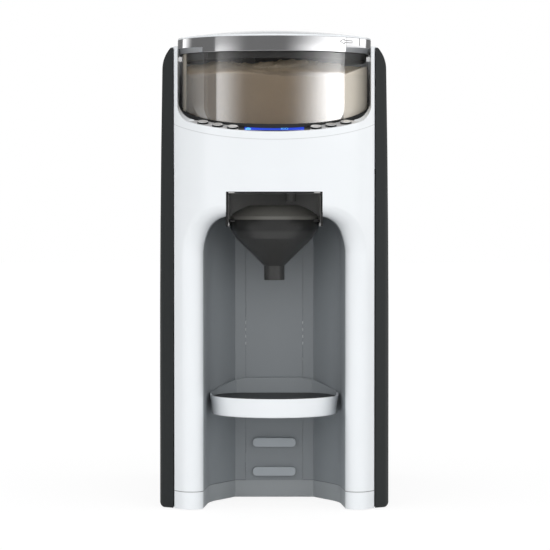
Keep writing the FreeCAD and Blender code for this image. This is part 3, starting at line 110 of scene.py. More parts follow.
class Finish:
    """A surface shader with its fixed values set, and the place on the part that it reads."""

    def __init__(self, name, colour, rough, **fixed):
        self.material = bpy.data.materials.new(name)
        self.material.use_nodes = True
        self.tree = self.material.node_tree
        self.shader = self.tree.nodes["Principled BSDF"]
        self.shader.inputs["Base Color"].default_value = (*colour, 1.0)
        self.shader.inputs["Roughness"].default_value = rough
        for name, value in fixed.items():
            socket = name.replace("_", " ").title().replace("Ior", "IOR")
            self.shader.inputs[socket].default_value = value
        place = self.tree.nodes.new("ShaderNodeTexCoord")
        self.place = Wire(self.tree, place.outputs["Object"])

    def feed(self, name, wire):
        self.tree.links.new(wire.socket, self.shader.inputs[name])

    def paint(self, mask, colour):
        """Covers the colour that is there with another one where a mask is 1."""
        under = Wire(self.tree, self.shader.inputs["Base Color"].links[0].from_socket)
        self.feed("Base Color", mask.blend(under, (*colour, 1.0)))

    def raised(self, height, distance):
        """Lets a height from 0 to 1 stand out of the surface by this many metres."""
        bump = height.node("ShaderNodeBump", {}, {"Height": height, "Distance": distance})
        self.feed("Normal", bump)


def tinted(colour, share):
    """The same colour, lighter or darker by a share."""
    return (*[min(1.0, part * share) for part in colour], 1.0)


def moulded(name, colour, rough, grain, depth, **fixed):
    """Moulded plastic: a faint cloud in its colour, and the mould's grain in gloss and surface."""
    made = Finish(name, colour, rough, **fixed)
    cloud = made.place.noise(9.0, 3.0)
    made.feed("Base Color", cloud.blend(tinted(colour, 0.975), tinted(colour, 1.02)))
    fine = made.place.noise(grain, 3.0, 0.6)
    made.feed("Roughness", rough * 0.85 + fine * (rough * 0.22) + cloud * (rough * 0.1))
    made.raised(fine, depth)
    return made


# Edges that turn by more than this many degrees are rounded.
SHARP = 32.0


def dress(finish, names, edge=0.0004):
    """Gives the frame's own parts their finish, and rounds their edges by a moulding's radius."""
    for name in names:
        for slot in nodes[name].material_slots:
            slot.material = finish.material
        weld = nodes[name].modifiers.new("joined edges", "WELD")
        weld.merge_threshold = 0.00001
        rounded = nodes[name].modifiers.new("rounded edges", "BEVEL")
        rounded.width = edge
        rounded.segments = 2
        rounded.angle_limit = math.radians(SHARP)
        rounded.use_clamp_overlap = True
        nodes[name].modifiers.new("flat faces", "WEIGHTED_NORMAL").keep_sharp = True


def near(height, level, half):
    """A thin band: 1 where a height lies within half a width of a level, and 0 away from it."""
    return 1.0 - (height - level).away().step(half * 0.6, half)


WHITE, SEAM_SHADE_GREY, SHADOW_BLACK = (0.865, 0.895, 0.92), (0.3, 0.305, 0.31), (0.004, 0.004, 0.005)
POLISH = {"coat_weight": 0.35, "coat_roughness": 0.06}
white_abs = moulded("white polished ABS", WHITE, 0.22, 700.0, 0.000004, **POLISH)
dress(white_abs, ["hopper_lid", "stand_frame"], 0.0006)

SKIRT_TOP, SHELL_FRONT, RIM_FRONT = 0.0142, -0.16, 0.2837
RIM_TILT = math.tan(math.radians(16.0))
NOTCH_HALF, NOTCH_LOW, NOTCH_TOP = 0.0364, 0.2055, 0.2443
seam_shaded_abs = moulded("white polished ABS with seams", WHITE, 0.22, 700.0, 0.000004, **POLISH)
shell_across, shell_along, shell_height = (seam_shaded_abs.place.part(axis) for axis in range(3))
# Painted shade: thin grey lines along the seams at the collar's rim and at the skirt's top, for the
# shadow in those gaps.
rim_seam_shade = near(shell_height - shell_along * RIM_TILT, RIM_FRONT - SHELL_FRONT * RIM_TILT, 0.00035)
foot_seam_shade = near(shell_height, SKIRT_TOP, 0.0004)
notch_shadow = (1.0 - shell_across.away().past(NOTCH_HALF)) * shell_height.past(NOTCH_LOW)
seam_shaded_abs.paint(rim_seam_shade * 0.35 + foot_seam_shade, SEAM_SHADE_GREY)
# Painted shadow: the shell inside the funnel bay's notch is painted black.
seam_shaded_abs.paint(notch_shadow * (1.0 - shell_height.past(NOTCH_TOP)), SHADOW_BLACK)
dress(seam_shaded_abs, ["front_shell", "skirt_right", "skirt_left", "collar"], 0.0005)


# --- Niche ------------------------------------------------------------------------------------
# The liner behind the arch, its plinth at the foot and the rail with the pegs that the stand
# hooks on: moulded in grey ABS with a satin grain.

NICHE_GREY, PEG_LIT_GREY = (0.315, 0.34, 0.36), (0.488, 0.527, 0.558)
NICHE_SEAM_SHADE_GREY = (0.09, 0.097, 0.102)
grey_abs = moulded("grey satin ABS", NICHE_GREY, 0.42, 1600.0, 0.00001)
# Painted shade: a dark line along the seam with the plinth, for the shadow in that gap.
grey_abs.paint(near(grey_abs.place.part(2), SKIRT_TOP, 0.0004), NICHE_SEAM_SHADE_GREY)
dress(grey_abs, ["niche_liner", "stand_bracket"])

PEG_FRONT = -0.0412
peg_lit_abs = moulded("grey satin ABS with pale pegs", NICHE_GREY, 0.4, 1600.0, 0.00001)
# Painted light: the pegs that stand out of the rail are painted a paler grey than it, for the light
# that falls on their fronts.
peg_lit_abs.paint(1.0 - peg_lit_abs.place.part(1).past(PEG_FRONT), PEG_LIT_GREY)
dress(peg_lit_abs, ["peg_rail"])

plinth_abs = moulded("pale grey satin ABS", (0.41, 0.435, 0.45), 0.4, 1600.0, 0.00001)
dress(plinth_abs, ["niche_plinth"])


# --- Funnel bay -------------------------------------------------------------------------------
# The frame that the funnel slides into, moulded in ABS with a fine grain. Its inside is painted
# light:
# a pale grey, lighter than its plastic, for the light that reaches into the deep bay. Its lip round
# the opening and the front of its side walls are painted shadow black.

BAY_LIT_GREY = (0.56, 0.56, 0.55)
LIP_BACK, LIP_SIDE, LIP_SIDE_BACK = -0.1545, 0.0345, -0.125
bay_light_and_shade_plastic = moulded("funnel bay plastic", BAY_LIT_GREY, 0.6, 1400.0, 0.00001)
bay_across, bay_along = bay_light_and_shade_plastic.place.part(0), bay_light_and_shade_plastic.place.part(1)
side_lip_shadow = bay_across.away().past(LIP_SIDE) * (1.0 - bay_along.past(LIP_SIDE_BACK))
# Painted shadow: the lip round the opening and the fronts of the side walls are painted black.
bay_light_and_shade_plastic.paint(side_lip_shadow.either(1.0 - bay_along.past(LIP_BACK)), SHADOW_BLACK)
dress(bay_light_and_shade_plastic, ["funnel_bay", "funnel_switch"], 0.0002)


# --- Side panels and back ---------------------------------------------------------------------
# Charcoal covers of textured ABS, clipped to the inner plates. The dock that the tank stands on
# and the tank's lid are moulded in the same plastic, and the feet in rubber.

CHARCOAL = (0.0185, 0.0215, 0.022)
charcoal_abs = moulded("charcoal textured ABS", CHARCOAL, 0.5, 2600.0, 0.00002,
                       specular_ior_level=0.3)
dress(charcoal_abs, ["side_panel_right", "side_panel_left", "rear_cover", "tank_dock", "tank_lid"],
      0.0008)
foot_rubber = moulded("foot rubber", (0.022, 0.022, 0.022), 0.75, 1500.0, 0.00003)
dress(foot_rubber, ["feet"])


# --- Inner parts ------------------------------------------------------------------------------
# The base plate and the black mouldings between the covers, the cheeks and bulkhead that carry
# the works, the steel and nylon of the drives, the boards, hoses and seals.

black_plastic = moulded("black plastic", (0.018, 0.018, 0.019), 0.5, 2200.0, 0.00002)
dress(black_plastic, ["base_plate", "power_inlet", "hopper_deck", "powder_chute", "hopper_floor",
                      "pump", "stand_insert"])
steel = moulded("zinc-plated steel", (0.55, 0.55, 0.54), 0.32, 900.0, 0.000006, metallic=1.0)
dress(steel, ["base_screws", "gear_plate", "powder_motor", "heater"])
inner_plastic = moulded("unpainted inner plastic", (0.24, 0.245, 0.25), 0.5, 1200.0, 0.000004)
dress(inner_plastic, ["chassis_right", "chassis_left", "bulkhead", "dosing_wheel", "stirrer"])
nylon = moulded("gear nylon", (0.72, 0.71, 0.67), 0.42, 900.0, 0.00001)
dress(nylon, ["output_gear", "idler_gear", "motor_pinion"], 0.0002)
board_green = moulded("board lacquer", (0.016, 0.09, 0.035), 0.35, 900.0, 0.00001)
dress(board_green, ["main_board", "key_board"], 0.0002)
silicone = moulded("silicone", (0.42, 0.42, 0.41), 0.45, 900.0, 0.00001)
dress(silicone, ["feed_hose", "heater_hose", "spout_hose", "tank_valve"], 0.0002)
black_rubber = moulded("black silicone", (0.014, 0.014, 0.014), 0.5, 1500.0, 0.00002)
dress(black_rubber, ["lid_seal"], 0.0002)
grey_rubber = moulded("grey silicone", (0.3, 0.3, 0.295), 0.5, 900.0, 0.00001)
dress(grey_rubber, ["water_nozzle"], 0.0002)


# --- Lid --------------------------------------------------------------------------------------
# A white domed cap pressed into a ring of silver-plated ABS, with an index line for the bayonet
# and an arrow for the way it turns.

SILVER = (0.62, 0.62, 0.63)
silver = Finish("polished silver plate", SILVER, 0.08, metallic=1.0)
silver_cloud = silver.place.noise(22.0, 3.0)
silver_fine = silver.place.noise(900.0, 3.0, 0.6)
silver.feed("Base Color", silver_cloud.blend(tinted(SILVER, 0.95), tinted(SILVER, 1.04)))
silver.feed("Roughness", 0.064 + silver_fine * 0.024 + silver_cloud * 0.02)
silver.raised(silver_fine, 0.000003)
dress(silver, ["lid_band"], 0.0003)

# The container's axis, the ring's radius, and the clearance and height of what is printed on it.
AXIS, BAND_RADIUS, INK_CLEAR, INK_THICK = -0.07, 0.0759, 0.00002, 0.00004


def printed(name, outlines, laid, thick, finish, body):
    """Thin raised marks, whose outlines are laid on the piece by a function of place and lift."""
    mesh = bmesh.new()
    for outline in outlines:
        low = [mesh.verts.new(laid(across, along, 0.0)) for across, along in outline]
        high = [mesh.verts.new(laid(across, along, thick)) for across, along in outline]
        mesh.faces.new(high)
        mesh.faces.new(low[::-1])
        joined(mesh, low, high)
    bmesh.ops.recalc_face_normals(mesh, faces=mesh.faces)
    return made_piece(name, mesh, finish, body)


def joined(mesh, here, after):
    """Faces that join two sections of a piece, corner by corner."""
    for number in range(len(here)):
        follow = (number + 1) % len(here)
        mesh.faces.new((here[number], after[number], after[follow], here[follow]))


def made_piece(name, mesh, finish, body, smooth=None):
    """Turns mesh code into a piece of the part with its finish, riding on a body."""
    data = bpy.data.meshes.new(name)
    mesh.to_mesh(data)
    mesh.free()
    data.materials.append(finish.material)
    if smooth is not None:
        for face in data.polygons:
            face.use_smooth = True
        data.set_sharp_from_angle(angle=math.radians(smooth))
    made = bpy.data.objects.new(name, data)
    bpy.context.scene.collection.objects.link(made)
    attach(made, body)
    return made


def round_axis(turn, reach, height):
    """A place round the container's axis, by its turn from the front."""
    return (reach * math.sin(turn), AXIS - reach * math.cos(turn), height)


def on_band(across, height, lift):
    """A place on the silver ring: across is measured round it from the front."""
    return round_axis(across / BAND_RADIUS, BAND_RADIUS + INK_CLEAR + lift, height)


def strip(start, end, wide):
    """The outline of a straight bar between two points."""
    start, end = Vector(start), Vector(end)
    side = (end - start).normalized().orthogonal() * (wide / 2)
    return [tuple(start + side), tuple(end + side), tuple(end - side), tuple(start - side)]


ink = moulded("black printing ink", (0.012, 0.012, 0.013), 0.4, 1200.0, 0.000002)
pale_ink = moulded("grey printing ink", (0.2, 0.2, 0.2), 0.4, 1200.0, 0.000002)
INDEX, INDEX_LOW, INDEX_HIGH, INDEX_WIDE = BAND_RADIUS * math.radians(60.0), 0.3568, 0.3625, 0.0008
printed("index_line", [strip((INDEX, INDEX_LOW), (INDEX, INDEX_HIGH), INDEX_WIDE)], on_band,
        INK_THICK, ink, "lid")
TAIL, NECK, TIP = (BAND_RADIUS * math.radians(turn) for turn in (52.0, 45.0, 41.5))
ARROW_HEIGHT, SHAFT_HALF, HEAD_HALF, LINE_WIDE, LINE_STOPS = 0.3593, 0.0008, 0.0020, 0.0005, 6
arrow_corners = ((TAIL, -SHAFT_HALF), (NECK, -SHAFT_HALF), (NECK, -HEAD_HALF), (TIP, 0.0),
                 (NECK, HEAD_HALF), (NECK, SHAFT_HALF), (TAIL, SHAFT_HALF))
arrow_line = [Vector((around, ARROW_HEIGHT + rise)) for around, rise in arrow_corners]
arrow_bars = []
for corner, following in zip(arrow_line, arrow_line[1:] + arrow_line[:1]):
    stops = [corner.lerp(following, share / LINE_STOPS) for share in range(LINE_STOPS + 1)]
    arrow_bars += [strip(here, there, LINE_WIDE) for here, there in zip(stops, stops[1:])]
printed("turn_arrow", arrow_bars, on_band, INK_THICK, pale_ink, "lid")


# --- Control panel ----------------------------------------------------------------------------
# A crescent of silver-plated ABS in front of the container, with a black surround painted round
# the backlit display and six chromed keys in round holes.

SURROUND_HALF, WELL_EDGE = 0.0272, 0.0772
panel_silver = Finish("silver control panel", SILVER, 0.34)
panel_across = panel_silver.place.part(0)
panel_ahead = panel_silver.place.part(1) - AXIS
panel_squared = panel_across * panel_across + panel_ahead * panel_ahead
panel_reach = panel_squared.maths("SQRT", panel_squared)
# Black where the surround is printed round the display, and painted shade along the well's edge,
# for the shadow in the gap round the container.
surround_and_well_shade = (1.0 - panel_across.away().past(SURROUND_HALF)).either(1.0 - panel_reach.past(WELL_EDGE))
panel_cloud = panel_silver.place.noise(22.0, 3.0)
panel_silver.feed("Base Color", panel_cloud.blend(tinted(SILVER, 1.1), tinted(SILVER, 1.2)))
panel_silver.paint(surround_and_well_shade, (0.006, 0.006, 0.007))
panel_silver.feed("Metallic", 0.35 - surround_and_well_shade * 0.35)
dress(panel_silver, ["control_panel"], 0.0002)

CAP_LEVEL, KEY_SILVER = 0.3360, (0.81, 0.81, 0.81)
chrome = Finish("key chrome", KEY_SILVER, 0.2)
chrome_cloud = chrome.place.noise(300.0, 2.0)
cap = (chrome.place.part(2) - chrome.place.part(1) * RIM_TILT).past(CAP_LEVEL)
chrome.feed("Base Color", chrome_cloud.blend(tinted(KEY_SILVER, 0.963), tinted(KEY_SILVER, 1.037)))
# Painted shade: below its cap each key is painted black, for the shade in the hole round it.
chrome.paint(1.0 - cap, SHADOW_BLACK)
chrome.feed("Metallic", cap * 0.5)
dress(chrome, [f"button_{number}" for number in range(1, 7)], 0.0003)

PANEL_FRONT, SHADE_INNER, SHADE_OUTER, SHADE_DEPTH = 0.2889, 0.0757, 0.0764, 0.004
LIP_LOW, LIP_RISE, LEG_TOP = 0.0008, 0.0018, 0.3506
LEG_TURN, SHADE_TURN, SHADE_STEPS = 78.0, 80.0, 320


def well_shade_strip():
    """A black strip round the well, put where shade lies between the container and the panel:
    highest behind the display, with a leg up each side.
    """
    mesh = bmesh.new()
    rounds = []
    for number in range(SHADE_STEPS + 1):
        turn = math.radians(SHADE_TURN) * (2.0 * number / SHADE_STEPS - 1.0)
        panel = PANEL_FRONT + (AXIS - SHADE_INNER * math.cos(turn) - SHELL_FRONT) * RIM_TILT
        lip = panel + LIP_LOW + LIP_RISE * math.cos(min(math.pi / 2, abs(turn) * 1.6)) ** 2
        climb = min(1.0, max(0.0, math.degrees(abs(turn)) - LEG_TURN) * 1.5)
        top = lip + (LEG_TOP - lip) * climb
        foot = panel - SHADE_DEPTH
        section = ((SHADE_INNER, foot), (SHADE_OUTER, foot), (SHADE_OUTER, top), (SHADE_INNER, top))
        rounds.append([mesh.verts.new(round_axis(turn, *corner)) for corner in section])
    for here, after in zip(rounds, rounds[1:]):
        joined(mesh, here, after)
    mesh.faces.new(rounds[0])
    mesh.faces.new(rounds[-1])
    bmesh.ops.recalc_face_normals(mesh, faces=mesh.faces)
    # Painted shade: a dark piece in the gap round the well, in the black silicone finish.
    made_piece("well_shade_strip", mesh, black_rubber, "machine")


well_shade_strip()

LCD_BLUE, LCD_HALF, LCD_FRONT = (0.02, 0.075, 0.78), 0.0222, -0.1541
display_glass = Finish("backlit display glass", (0.01, 0.012, 0.03), 0.12, emission_strength=0.9)
glow = display_glass.place.noise(60.0, 2.0)
behind_front = display_glass.place.part(1).step(LCD_FRONT, LCD_FRONT + 0.0004)
past_side = display_glass.place.part(0).away().step(LCD_HALF, LCD_HALF + 0.0006)
lit = behind_front * (1.0 - past_side)
display_glass.feed("Emission Color", lit.blend((0.0, 0.0, 0.004, 1.0), glow.blend(
    tinted(LCD_BLUE, 0.88), tinted(LCD_BLUE, 1.05))))
dress(display_glass, ["display_window"], 0.0001)
display_black = moulded("display black", (0.01, 0.01, 0.012), 0.1, 500.0, 0.000002)
dress(display_black, ["display_module"], 0.0002)

GLASS_BACK, GLASS_TOP, GLASS_TILT = -0.1442, 0.29339, math.radians(16.0)


def on_display(across, along, lift):
    """A place on the tilted face of the display, from its middle and its back edge."""
    level = GLASS_TOP + (along - GLASS_BACK) * math.tan(GLASS_TILT)
    return (across, along - lift * math.sin(GLASS_TILT), level + lift * math.cos(GLASS_TILT))


MARKS_ALONG, DIGIT_TALL, BAR_THICK = -0.1492, 0.0046, 0.0006


def digit(shape, across, wide):
    """The bars of one seven-segment digit, named clockwise from the top with the middle last."""
    half, low, high = wide / 2, MARKS_ALONG - DIGIT_TALL / 2, MARKS_ALONG + DIGIT_TALL / 2
    bars = {"a": ((-half, high), (half, high)), "b": ((half, high), (half, MARKS_ALONG)),
            "c": ((half, MARKS_ALONG), (half, low)), "d": ((-half, low), (half, low)),
            "e": ((-half, MARKS_ALONG), (-half, low)), "f": ((-half, high), (-half, MARKS_ALONG)),
            "g": ((-half, MARKS_ALONG), (half, MARKS_ALONG))}
    made = []
    for name in shape:
        start, end = (Vector((x + across, y)) for x, y in bars[name])
        space = (end - start).normalized() * (BAR_THICK * 0.7)
        made.append(strip(start + space, end - space, BAR_THICK))
    return made


cyan_glow = Finish("display mark", (0.02, 0.05, 0.06), 0.3, emission_strength=1.0)
cyan_cloud = cyan_glow.place.noise(300.0, 2.0)
cyan_glow.feed("Emission Color", cyan_cloud.blend((0.09, 0.5, 0.95, 1.0), (0.13, 0.62, 1.0, 1.0)))
marks = digit("bc", 0.0046, 0.0014)
marks += digit("acdefg", 0.0067, 0.0018)
marks += digit("abcdef", 0.0093, 0.0018)
BOTTLE_ACROSS, BOTTLE_SCALE = -0.0197, 1.2
BOTTLE_SIDE = [(0.0014, -0.0034), (0.0017, -0.0028), (0.0017, 0.0010), (0.0010, 0.0018),
               (0.0010, 0.0024), (0.0004, 0.0032)]
bottle = BOTTLE_SIDE + [(-x, y) for x, y in reversed(BOTTLE_SIDE)]
marks.append([(x * BOTTLE_SCALE + BOTTLE_ACROSS, y + MARKS_ALONG) for x, y in bottle])
printed("display_marks", marks, on_display, 0.00003, cyan_glow, "machine")


# --- Clear pieces -----------------------------------------------------------------------------
# The powder container and the water tank, moulded in smoked copolyester, and the funnel with its
# splash cover in a darker smoke. A pale sheen is painted on the container's wall at both sides: a
# painted reflection.

def clear(name, colour, tint, rough=0.05):
    """Clear plastic tinted with smoke: it lets most through, and less the flatter it is seen."""
    made = Finish(name, colour, rough)
    edge = made.place.node("ShaderNodeLayerWeight", {}, {"Blend": 0.35}, 1)
    made.feed("Alpha", tint + edge * edge * edge * edge * (1.0 - tint))
    fine = made.place.noise(900.0, 2.0)
    made.feed("Roughness", rough * 0.8 + fine * (rough * 0.4))
    return made


def glazed(made, share, rough):
    """A polished face over a clear plastic, which mirrors this share of the room."""
    mirror = made.place.node("ShaderNodeBsdfPrincipled", {}, {
        "Base Color": (1.0, 1.0, 1.0, 1.0), "Metallic": 1.0, "Roughness": rough})
    under = Wire(made.tree, made.shader.outputs[0])
    mixed = made.place.node("ShaderNodeMixShader", {}, {0: share, 1: under, 2: mirror})
    made.tree.links.new(mixed.socket, made.tree.nodes["Material Output"].inputs["Surface"])


def between(wire, low, full, fading, gone):
    """A band with soft edges: it rises from 0 to 1 and falls back to 0."""
    return wire.step(low, full) * (1.0 - wire.step(fading, gone))


SMOKE_BROWN, SHEEN_PALE = (0.02, 0.017, 0.013), (0.92, 0.84, 0.72)
WALL_TINT, HEADSPACE_TINT, SHEEN_COVER = 0.25, 0.08, 0.74
HEADSPACE_LOW, HEADSPACE_FULL = 0.3335, 0.3365
# The painted reflection on the right ends along a slanting line: its height where it starts, and
# its slope.
SHEEN_LINE, SHEEN_START, SHEEN_SLOPE, SHEEN_SOFT = 0.3354, 0.0562, 0.427, 0.0008
RIGHT_SHEEN, LEFT_SHEEN = (0.0520, 0.0538, 0.0716, 0.0738), (-0.0722, -0.0700, -0.0688, -0.0668)
smoke = clear("smoked clear plastic", SMOKE_BROWN, WALL_TINT)
drum_across, drum_along, drum_height = (smoke.place.part(axis) for axis in range(3))
headspace = drum_height.step(HEADSPACE_LOW, HEADSPACE_FULL)
sheen_line = SHEEN_LINE + (drum_across - SHEEN_START) * SHEEN_SLOPE
below_line = 1.0 - (drum_height - sheen_line).step(-SHEEN_SOFT, SHEEN_SOFT)
right_sheen = between(drum_across, *RIGHT_SHEEN) * below_line
left_sheen = between(drum_across, *LEFT_SHEEN)
painted_sheen = (right_sheen + left_sheen) * (1.0 - drum_along.step(AXIS - 0.001, AXIS))
# Painted reflection: a pale sheen on the front of the wall at both sides, which also hides the
# powder behind it and dulls the wall's mirror.
smoke.feed("Base Color", painted_sheen.blend((*SMOKE_BROWN, 1.0), (*SHEEN_PALE, 1.0)))
wall_tint = WALL_TINT - headspace * (WALL_TINT - HEADSPACE_TINT)
smoke.feed("Alpha", wall_tint + painted_sheen * (SHEEN_COVER - wall_tint))
# What the wall mirrors seen square on, how that grows as it turns away, and where it is dulled.
SQUARE_ON, TURN_MOST, TURN_GAIN, HEADSPACE_DULL, SHEEN_DULL = 0.045, 0.22, 1.3, 0.72, 0.5
turned = smoke.place.node("ShaderNodeLayerWeight", {}, {"Blend": 0.5}, 1)
glancing = SQUARE_ON + turned.maths("MINIMUM", turned, TURN_MOST) * TURN_GAIN
dulled = (1.0 - headspace * HEADSPACE_DULL) * (1.0 - painted_sheen * SHEEN_DULL)
glazed(smoke, glancing * dulled, 0.04)
dress(smoke, ["hopper"], 0.0002)

tank_smoke = clear("smoked tank plastic", (0.02, 0.02, 0.02), 0.55)
dress(tank_smoke, ["water_tank"], 0.0002)

FUNNEL_GREY, FUNNEL_SHADE_BLACK = (0.05, 0.05, 0.049), (0.006, 0.006, 0.006)
RIM_LOW, EAR_SIDE = 0.2125, 0.0335
funnel_smoke = clear("dark smoked plastic", FUNNEL_GREY, 0.88, 0.3)
# Painted shade: the funnel's top band is painted darker and its ears near black, for the shade
# inside the bay.
shaded_top_band = funnel_smoke.place.part(2).step(RIM_LOW, RIM_LOW + 0.003) * 0.6
ears = funnel_smoke.place.part(0).away().past(EAR_SIDE)
funnel_shade = shaded_top_band.either(ears)
funnel_smoke.feed("Base Color", funnel_shade.blend((*FUNNEL_GREY, 1.0), (*FUNNEL_SHADE_BLACK, 1.0)))
dress(funnel_smoke, ["funnel"], 0.0002)
cover_smoke = clear("smoked cover plastic", (0.18, 0.177, 0.162), 0.9, 0.3)
dress(cover_smoke, ["funnel_cover"], 0.0002)


# --- Milk powder ------------------------------------------------------------------------------
# The formula in the container: pressed smooth against the clear wall, heaped rough on top, and
# parted by the ring that the stirrer's blade sweeps.

POWDER, CRUMB_DARK, CRUMB_PALE = (0.76, 0.6, 0.42), (0.74, 0.58, 0.41), (1.0, 0.92, 0.74)
HEAP_LOW, HEAP_FULL = 0.335, 0.341
powder_finish = Finish("milk powder", POWDER, 0.95)
clumps = powder_finish.place.noise(240.0, 5.0, 0.62)
crumbs = powder_finish.place.noise(1500.0, 3.0, 0.6)
# Painted light: the heap's top, crumbed in random tones, is painted lighter than the wall on the
# whole, to make up for the shade that the lid casts on it.
lit_heap_top = powder_finish.place.part(2).step(HEAP_LOW, HEAP_FULL)
powder_finish.feed("Base Color", lit_heap_top.blend(
    clumps.blend(tinted(POWDER, 0.9), tinted(POWDER, 1.06)),
    crumbs.blend((*CRUMB_DARK, 1.0), (*CRUMB_PALE, 1.0))))
powder_finish.raised(clumps * 0.5 + crumbs * 0.5, 0.0005)
# Heights in millimetres at places across the container, at the wall and along the heap's crest.
WALL_TOP = ((-72, 337.0), (-62.4, 331.8), (-39, 335.2), (-17.8, 334.2), (8.7, 331.9), (33.4, 332.2),
            (56.2, 335.4), (70, 341.3))
HEAP_TOP = ((-72, 341.0), (-63, 343.1), (-40, 345.4), (-18, 343.7), (-5, 345.4), (9, 346.6),
            (25, 346.6), (46, 344.3), (57, 341.9), (72, 341.0))
WALL_REACH, CREST, SHORTEST_CLIMB, FALL_BACK = 0.0721, 0.015, 0.012, ((0.0, 0.0), (0.05, 5.0))
# Each size of lump: how many to the metre, where its noise is read, and its height in millimetres.
LUMPS = ((150.0, 3.1, 1.5), (420.0, 7.7, 1.3), (900.0, 1.3, 0.5))
POWDER_STEPS, WHEEL_REACH = 240, 0.0667


def smooth(share):
    """Eases a share from 0 to 1."""
    return share * share * (3.0 - 2.0 * share)


def eased(points, at):
    """Reads a rounded line through points."""
    for (start, low), (end, high) in zip(points, points[1:]):
        if at <= end:
            return low + (high - low) * smooth(min(1.0, max(0.0, (at - start) / (end - start))))
    return points[-1][1]


def powder_top(turn, reach):
    """How high the powder lies at a place in the container: it climbs from the wall to a crest."""
    x, y = reach * math.sin(turn), -reach * math.cos(turn)
    wall, heap = eased(WALL_TOP, x * 1000.0), eased(HEAP_TOP, x * 1000.0)
    ahead = math.sqrt(max(0.0, WALL_REACH ** 2 - x * x))
    climb = smooth(min(1.0, max(0.0, (y + ahead) / max(SHORTEST_CLIMB, ahead - CREST))))
    rough = 0.3 + 0.7 * min(1.0, (WALL_REACH - reach) / 0.003)
    lumps = sum(noise.noise((x * scale, y * scale, level)) * tall for scale, level, tall in LUMPS)
    return (wall + (heap - wall) * climb - eased(FALL_BACK, y) + lumps * rough) / 1000.0


def powder_body(name, reaches, low, inner):
    """A ring or core of powder. Reaches run inward over its top. Its foot lies low outside the
    dosing wheel, and rises to the inner level over the wheel."""
    mesh = bmesh.new()
    rounds = []
    for number in range(POWDER_STEPS):
        turn = -math.pi + 2.0 * math.pi * number / POWDER_STEPS
        top = powder_top(turn, reaches[0])
        section = [(reaches[0], low + (top - low) * share) for share in (0.0, 0.3, 0.6, 0.85, 0.96)]
        section += [(reach, powder_top(turn, reach)) for reach in reaches]
        section += [(reaches[-1], inner)]
        section += [(WHEEL_REACH, inner), (WHEEL_REACH, low)] if inner > low else []
        rounds.append([mesh.verts.new(round_axis(turn, *corner)) for corner in section])
    for here, after in zip(rounds, rounds[1:] + rounds[:1]):
        joined(mesh, here, after)
    bmesh.ops.recalc_face_normals(mesh, faces=mesh.faces)
    made_piece(name, mesh, powder_finish, "hopper", smooth=55.0)


RING_REACHES = [0.0721, 0.0716, 0.071, 0.07, 0.0685, 0.067, 0.065, 0.0625, 0.06, 0.0575, 0.055,
                0.0525, 0.05, 0.0475, 0.0455, 0.044, 0.0428]
CORE_REACHES = [0.0376, 0.0365, 0.035, 0.033, 0.0305, 0.028, 0.025, 0.022, 0.019, 0.0155, 0.012,
                0.008, 0.004, 0.0006]
# How high the powder lies over the container's floor, over the dosing wheel and over the hub.
ON_FLOOR, ON_WHEEL, ON_HUB = 0.2672, 0.2796, 0.2806
powder_body("powder_ring", RING_REACHES, ON_FLOOR, ON_WHEEL)
powder_body("powder_core", CORE_REACHES, ON_HUB, ON_HUB)


# --- Setting ----------------------------------------------------------------------------------
# A pale floor and a studio of soft boxes: a wide one on the right, one on the left that fades
# towards the front, a strip behind each shoulder, one overhead, and a white backdrop behind.

def plate(name, corners, finish):
    """One flat face for the setting."""
    made = bpy.data.meshes.new(name)
    made.from_pydata(corners, [], [tuple(range(len(corners)))])
    made.materials.append(finish)
    shown = bpy.data.objects.new(name, made)
    bpy.context.scene.collection.objects.link(shown)
    return shown


FLOOR_REACH, FLOOR_GLOW, GLOW_SHARE = 8.0, 1.1, 0.8
floor_finish = Finish("pale floor", (0.82, 0.82, 0.82), 0.6)
seen_floor = floor_finish.place.node("ShaderNodeLightPath", {}, {}, 0)
floor_glow = floor_finish.place.node("ShaderNodeEmission", {}, {"Color": (1.0, 1.0, 1.0, 1.0),
                                                                "Strength": FLOOR_GLOW})
lit_floor = Wire(floor_finish.tree, floor_finish.shader.outputs[0])
floor_mix = seen_floor.node("ShaderNodeMixShader", {},
                            {0: seen_floor * GLOW_SHARE, 1: lit_floor, 2: floor_glow})
floor_finish.tree.links.new(floor_mix.socket,
                            floor_finish.tree.nodes["Material Output"].inputs["Surface"])
plate("floor", [(-FLOOR_REACH, -FLOOR_REACH, 0), (FLOOR_REACH, -FLOOR_REACH, 0),
                (FLOOR_REACH, FLOOR_REACH, 0), (-FLOOR_REACH, FLOOR_REACH, 0)],
      floor_finish.material)

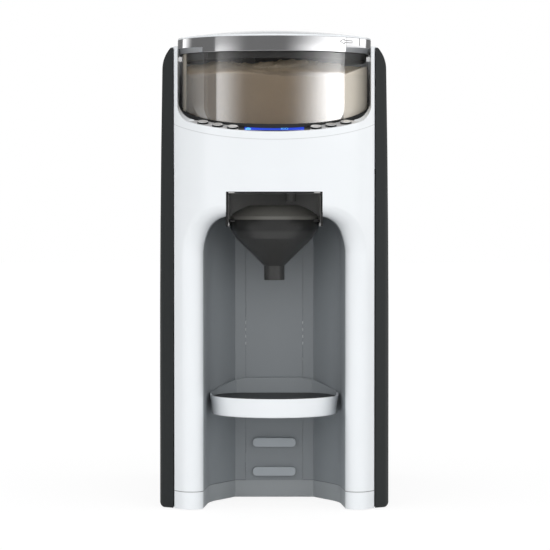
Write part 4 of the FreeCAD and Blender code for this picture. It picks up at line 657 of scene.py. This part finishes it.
# Strengths of the soft boxes that glossy faces mirror, then the plain light of everything else.
FILL, RIGHT, DRUM, LEFT, BAND_CUT, STRIP, GAP_CUT, KEY = 0.22, 1.9, 1.0, 1.0, 0.6, 1.7, 0.8, 1.3
SIDES, FRONT = 0.7, 1.0
studio = bpy.data.worlds.new("studio")
studio.use_nodes = True
bpy.context.scene.world = studio
sky = studio.node_tree.nodes["Background"]
sky_place = studio.node_tree.nodes.new("ShaderNodeTexCoord")
way = Wire(studio.node_tree, sky_place.outputs["Generated"])
ahead, up = way.part(1) * -1.0, way.part(2)
# Turns are in degrees from the front towards the right; the left ones are read the other way.
to_right = way.maths("ARCTAN2", way.part(0), ahead) * (180.0 / math.pi)
to_left = -1.0 * to_right
at_boxes = between(up, -0.06, -0.02, 0.13, 0.19)
at_band = up.step(0.053, 0.056)
at_drum = up.step(0.022, 0.028) * (1.0 - at_band)
at_headspace = up.step(0.038, 0.042) * (1.0 - at_band)
right_box = between(to_right, 8.0, 92.0, 93.0, 95.0) * RIGHT
drum_box = between(to_right, 10.0, 60.0, 93.0, 95.0) * at_drum * DRUM
left_box = between(to_left, 30.0, 68.0, 73.0, 75.0) * (LEFT - at_band * BAND_CUT)
left_strip = between(to_left, 113.0, 140.0, 138.0, 142.0) * STRIP
right_strip = between(to_right, 94.0, 96.0, 138.0, 142.0) * (1.0 - at_headspace * GAP_CUT) * STRIP
overhead = between(up, 0.14, 0.4, 0.94, 1.0) * ahead.step(0.2, 0.75) * KEY
boxes = (right_box + drum_box + left_box + left_strip + right_strip) * at_boxes + overhead + FILL
plain = SIDES + ahead.either(0.0) * FRONT
seen, mirrored, through = (way.node("ShaderNodeLightPath", {}, {}, output) for output in (0, 3, 6))
behind = way.part(1).step(0.97, 0.985)
level = plain + mirrored * (boxes - plain)
white = seen.either(mirrored.either(through) * behind)
strength = white + (1.0 - white) * level
studio.node_tree.links.new(strength.socket, sky.inputs["Strength"])
sky.inputs["Color"].default_value = (1.0, 1.0, 1.0, 1.0)

camera = bpy.data.cameras.new("camera")
camera.sensor_width = 36.0
camera.lens = 174.1
camera.shift_x = 0.0013
camera.shift_y = 0.0018
eye = bpy.data.objects.new("camera", camera)
eye.location = (0.0, -2.162, 0.2373)
eye.rotation_euler = (math.pi / 2 - math.atan(75.0 / 2660.0), 0, 0)
bpy.context.scene.collection.objects.link(eye)
bpy.context.scene.camera = eye
bpy.context.scene.view_settings.view_transform = "Standard"
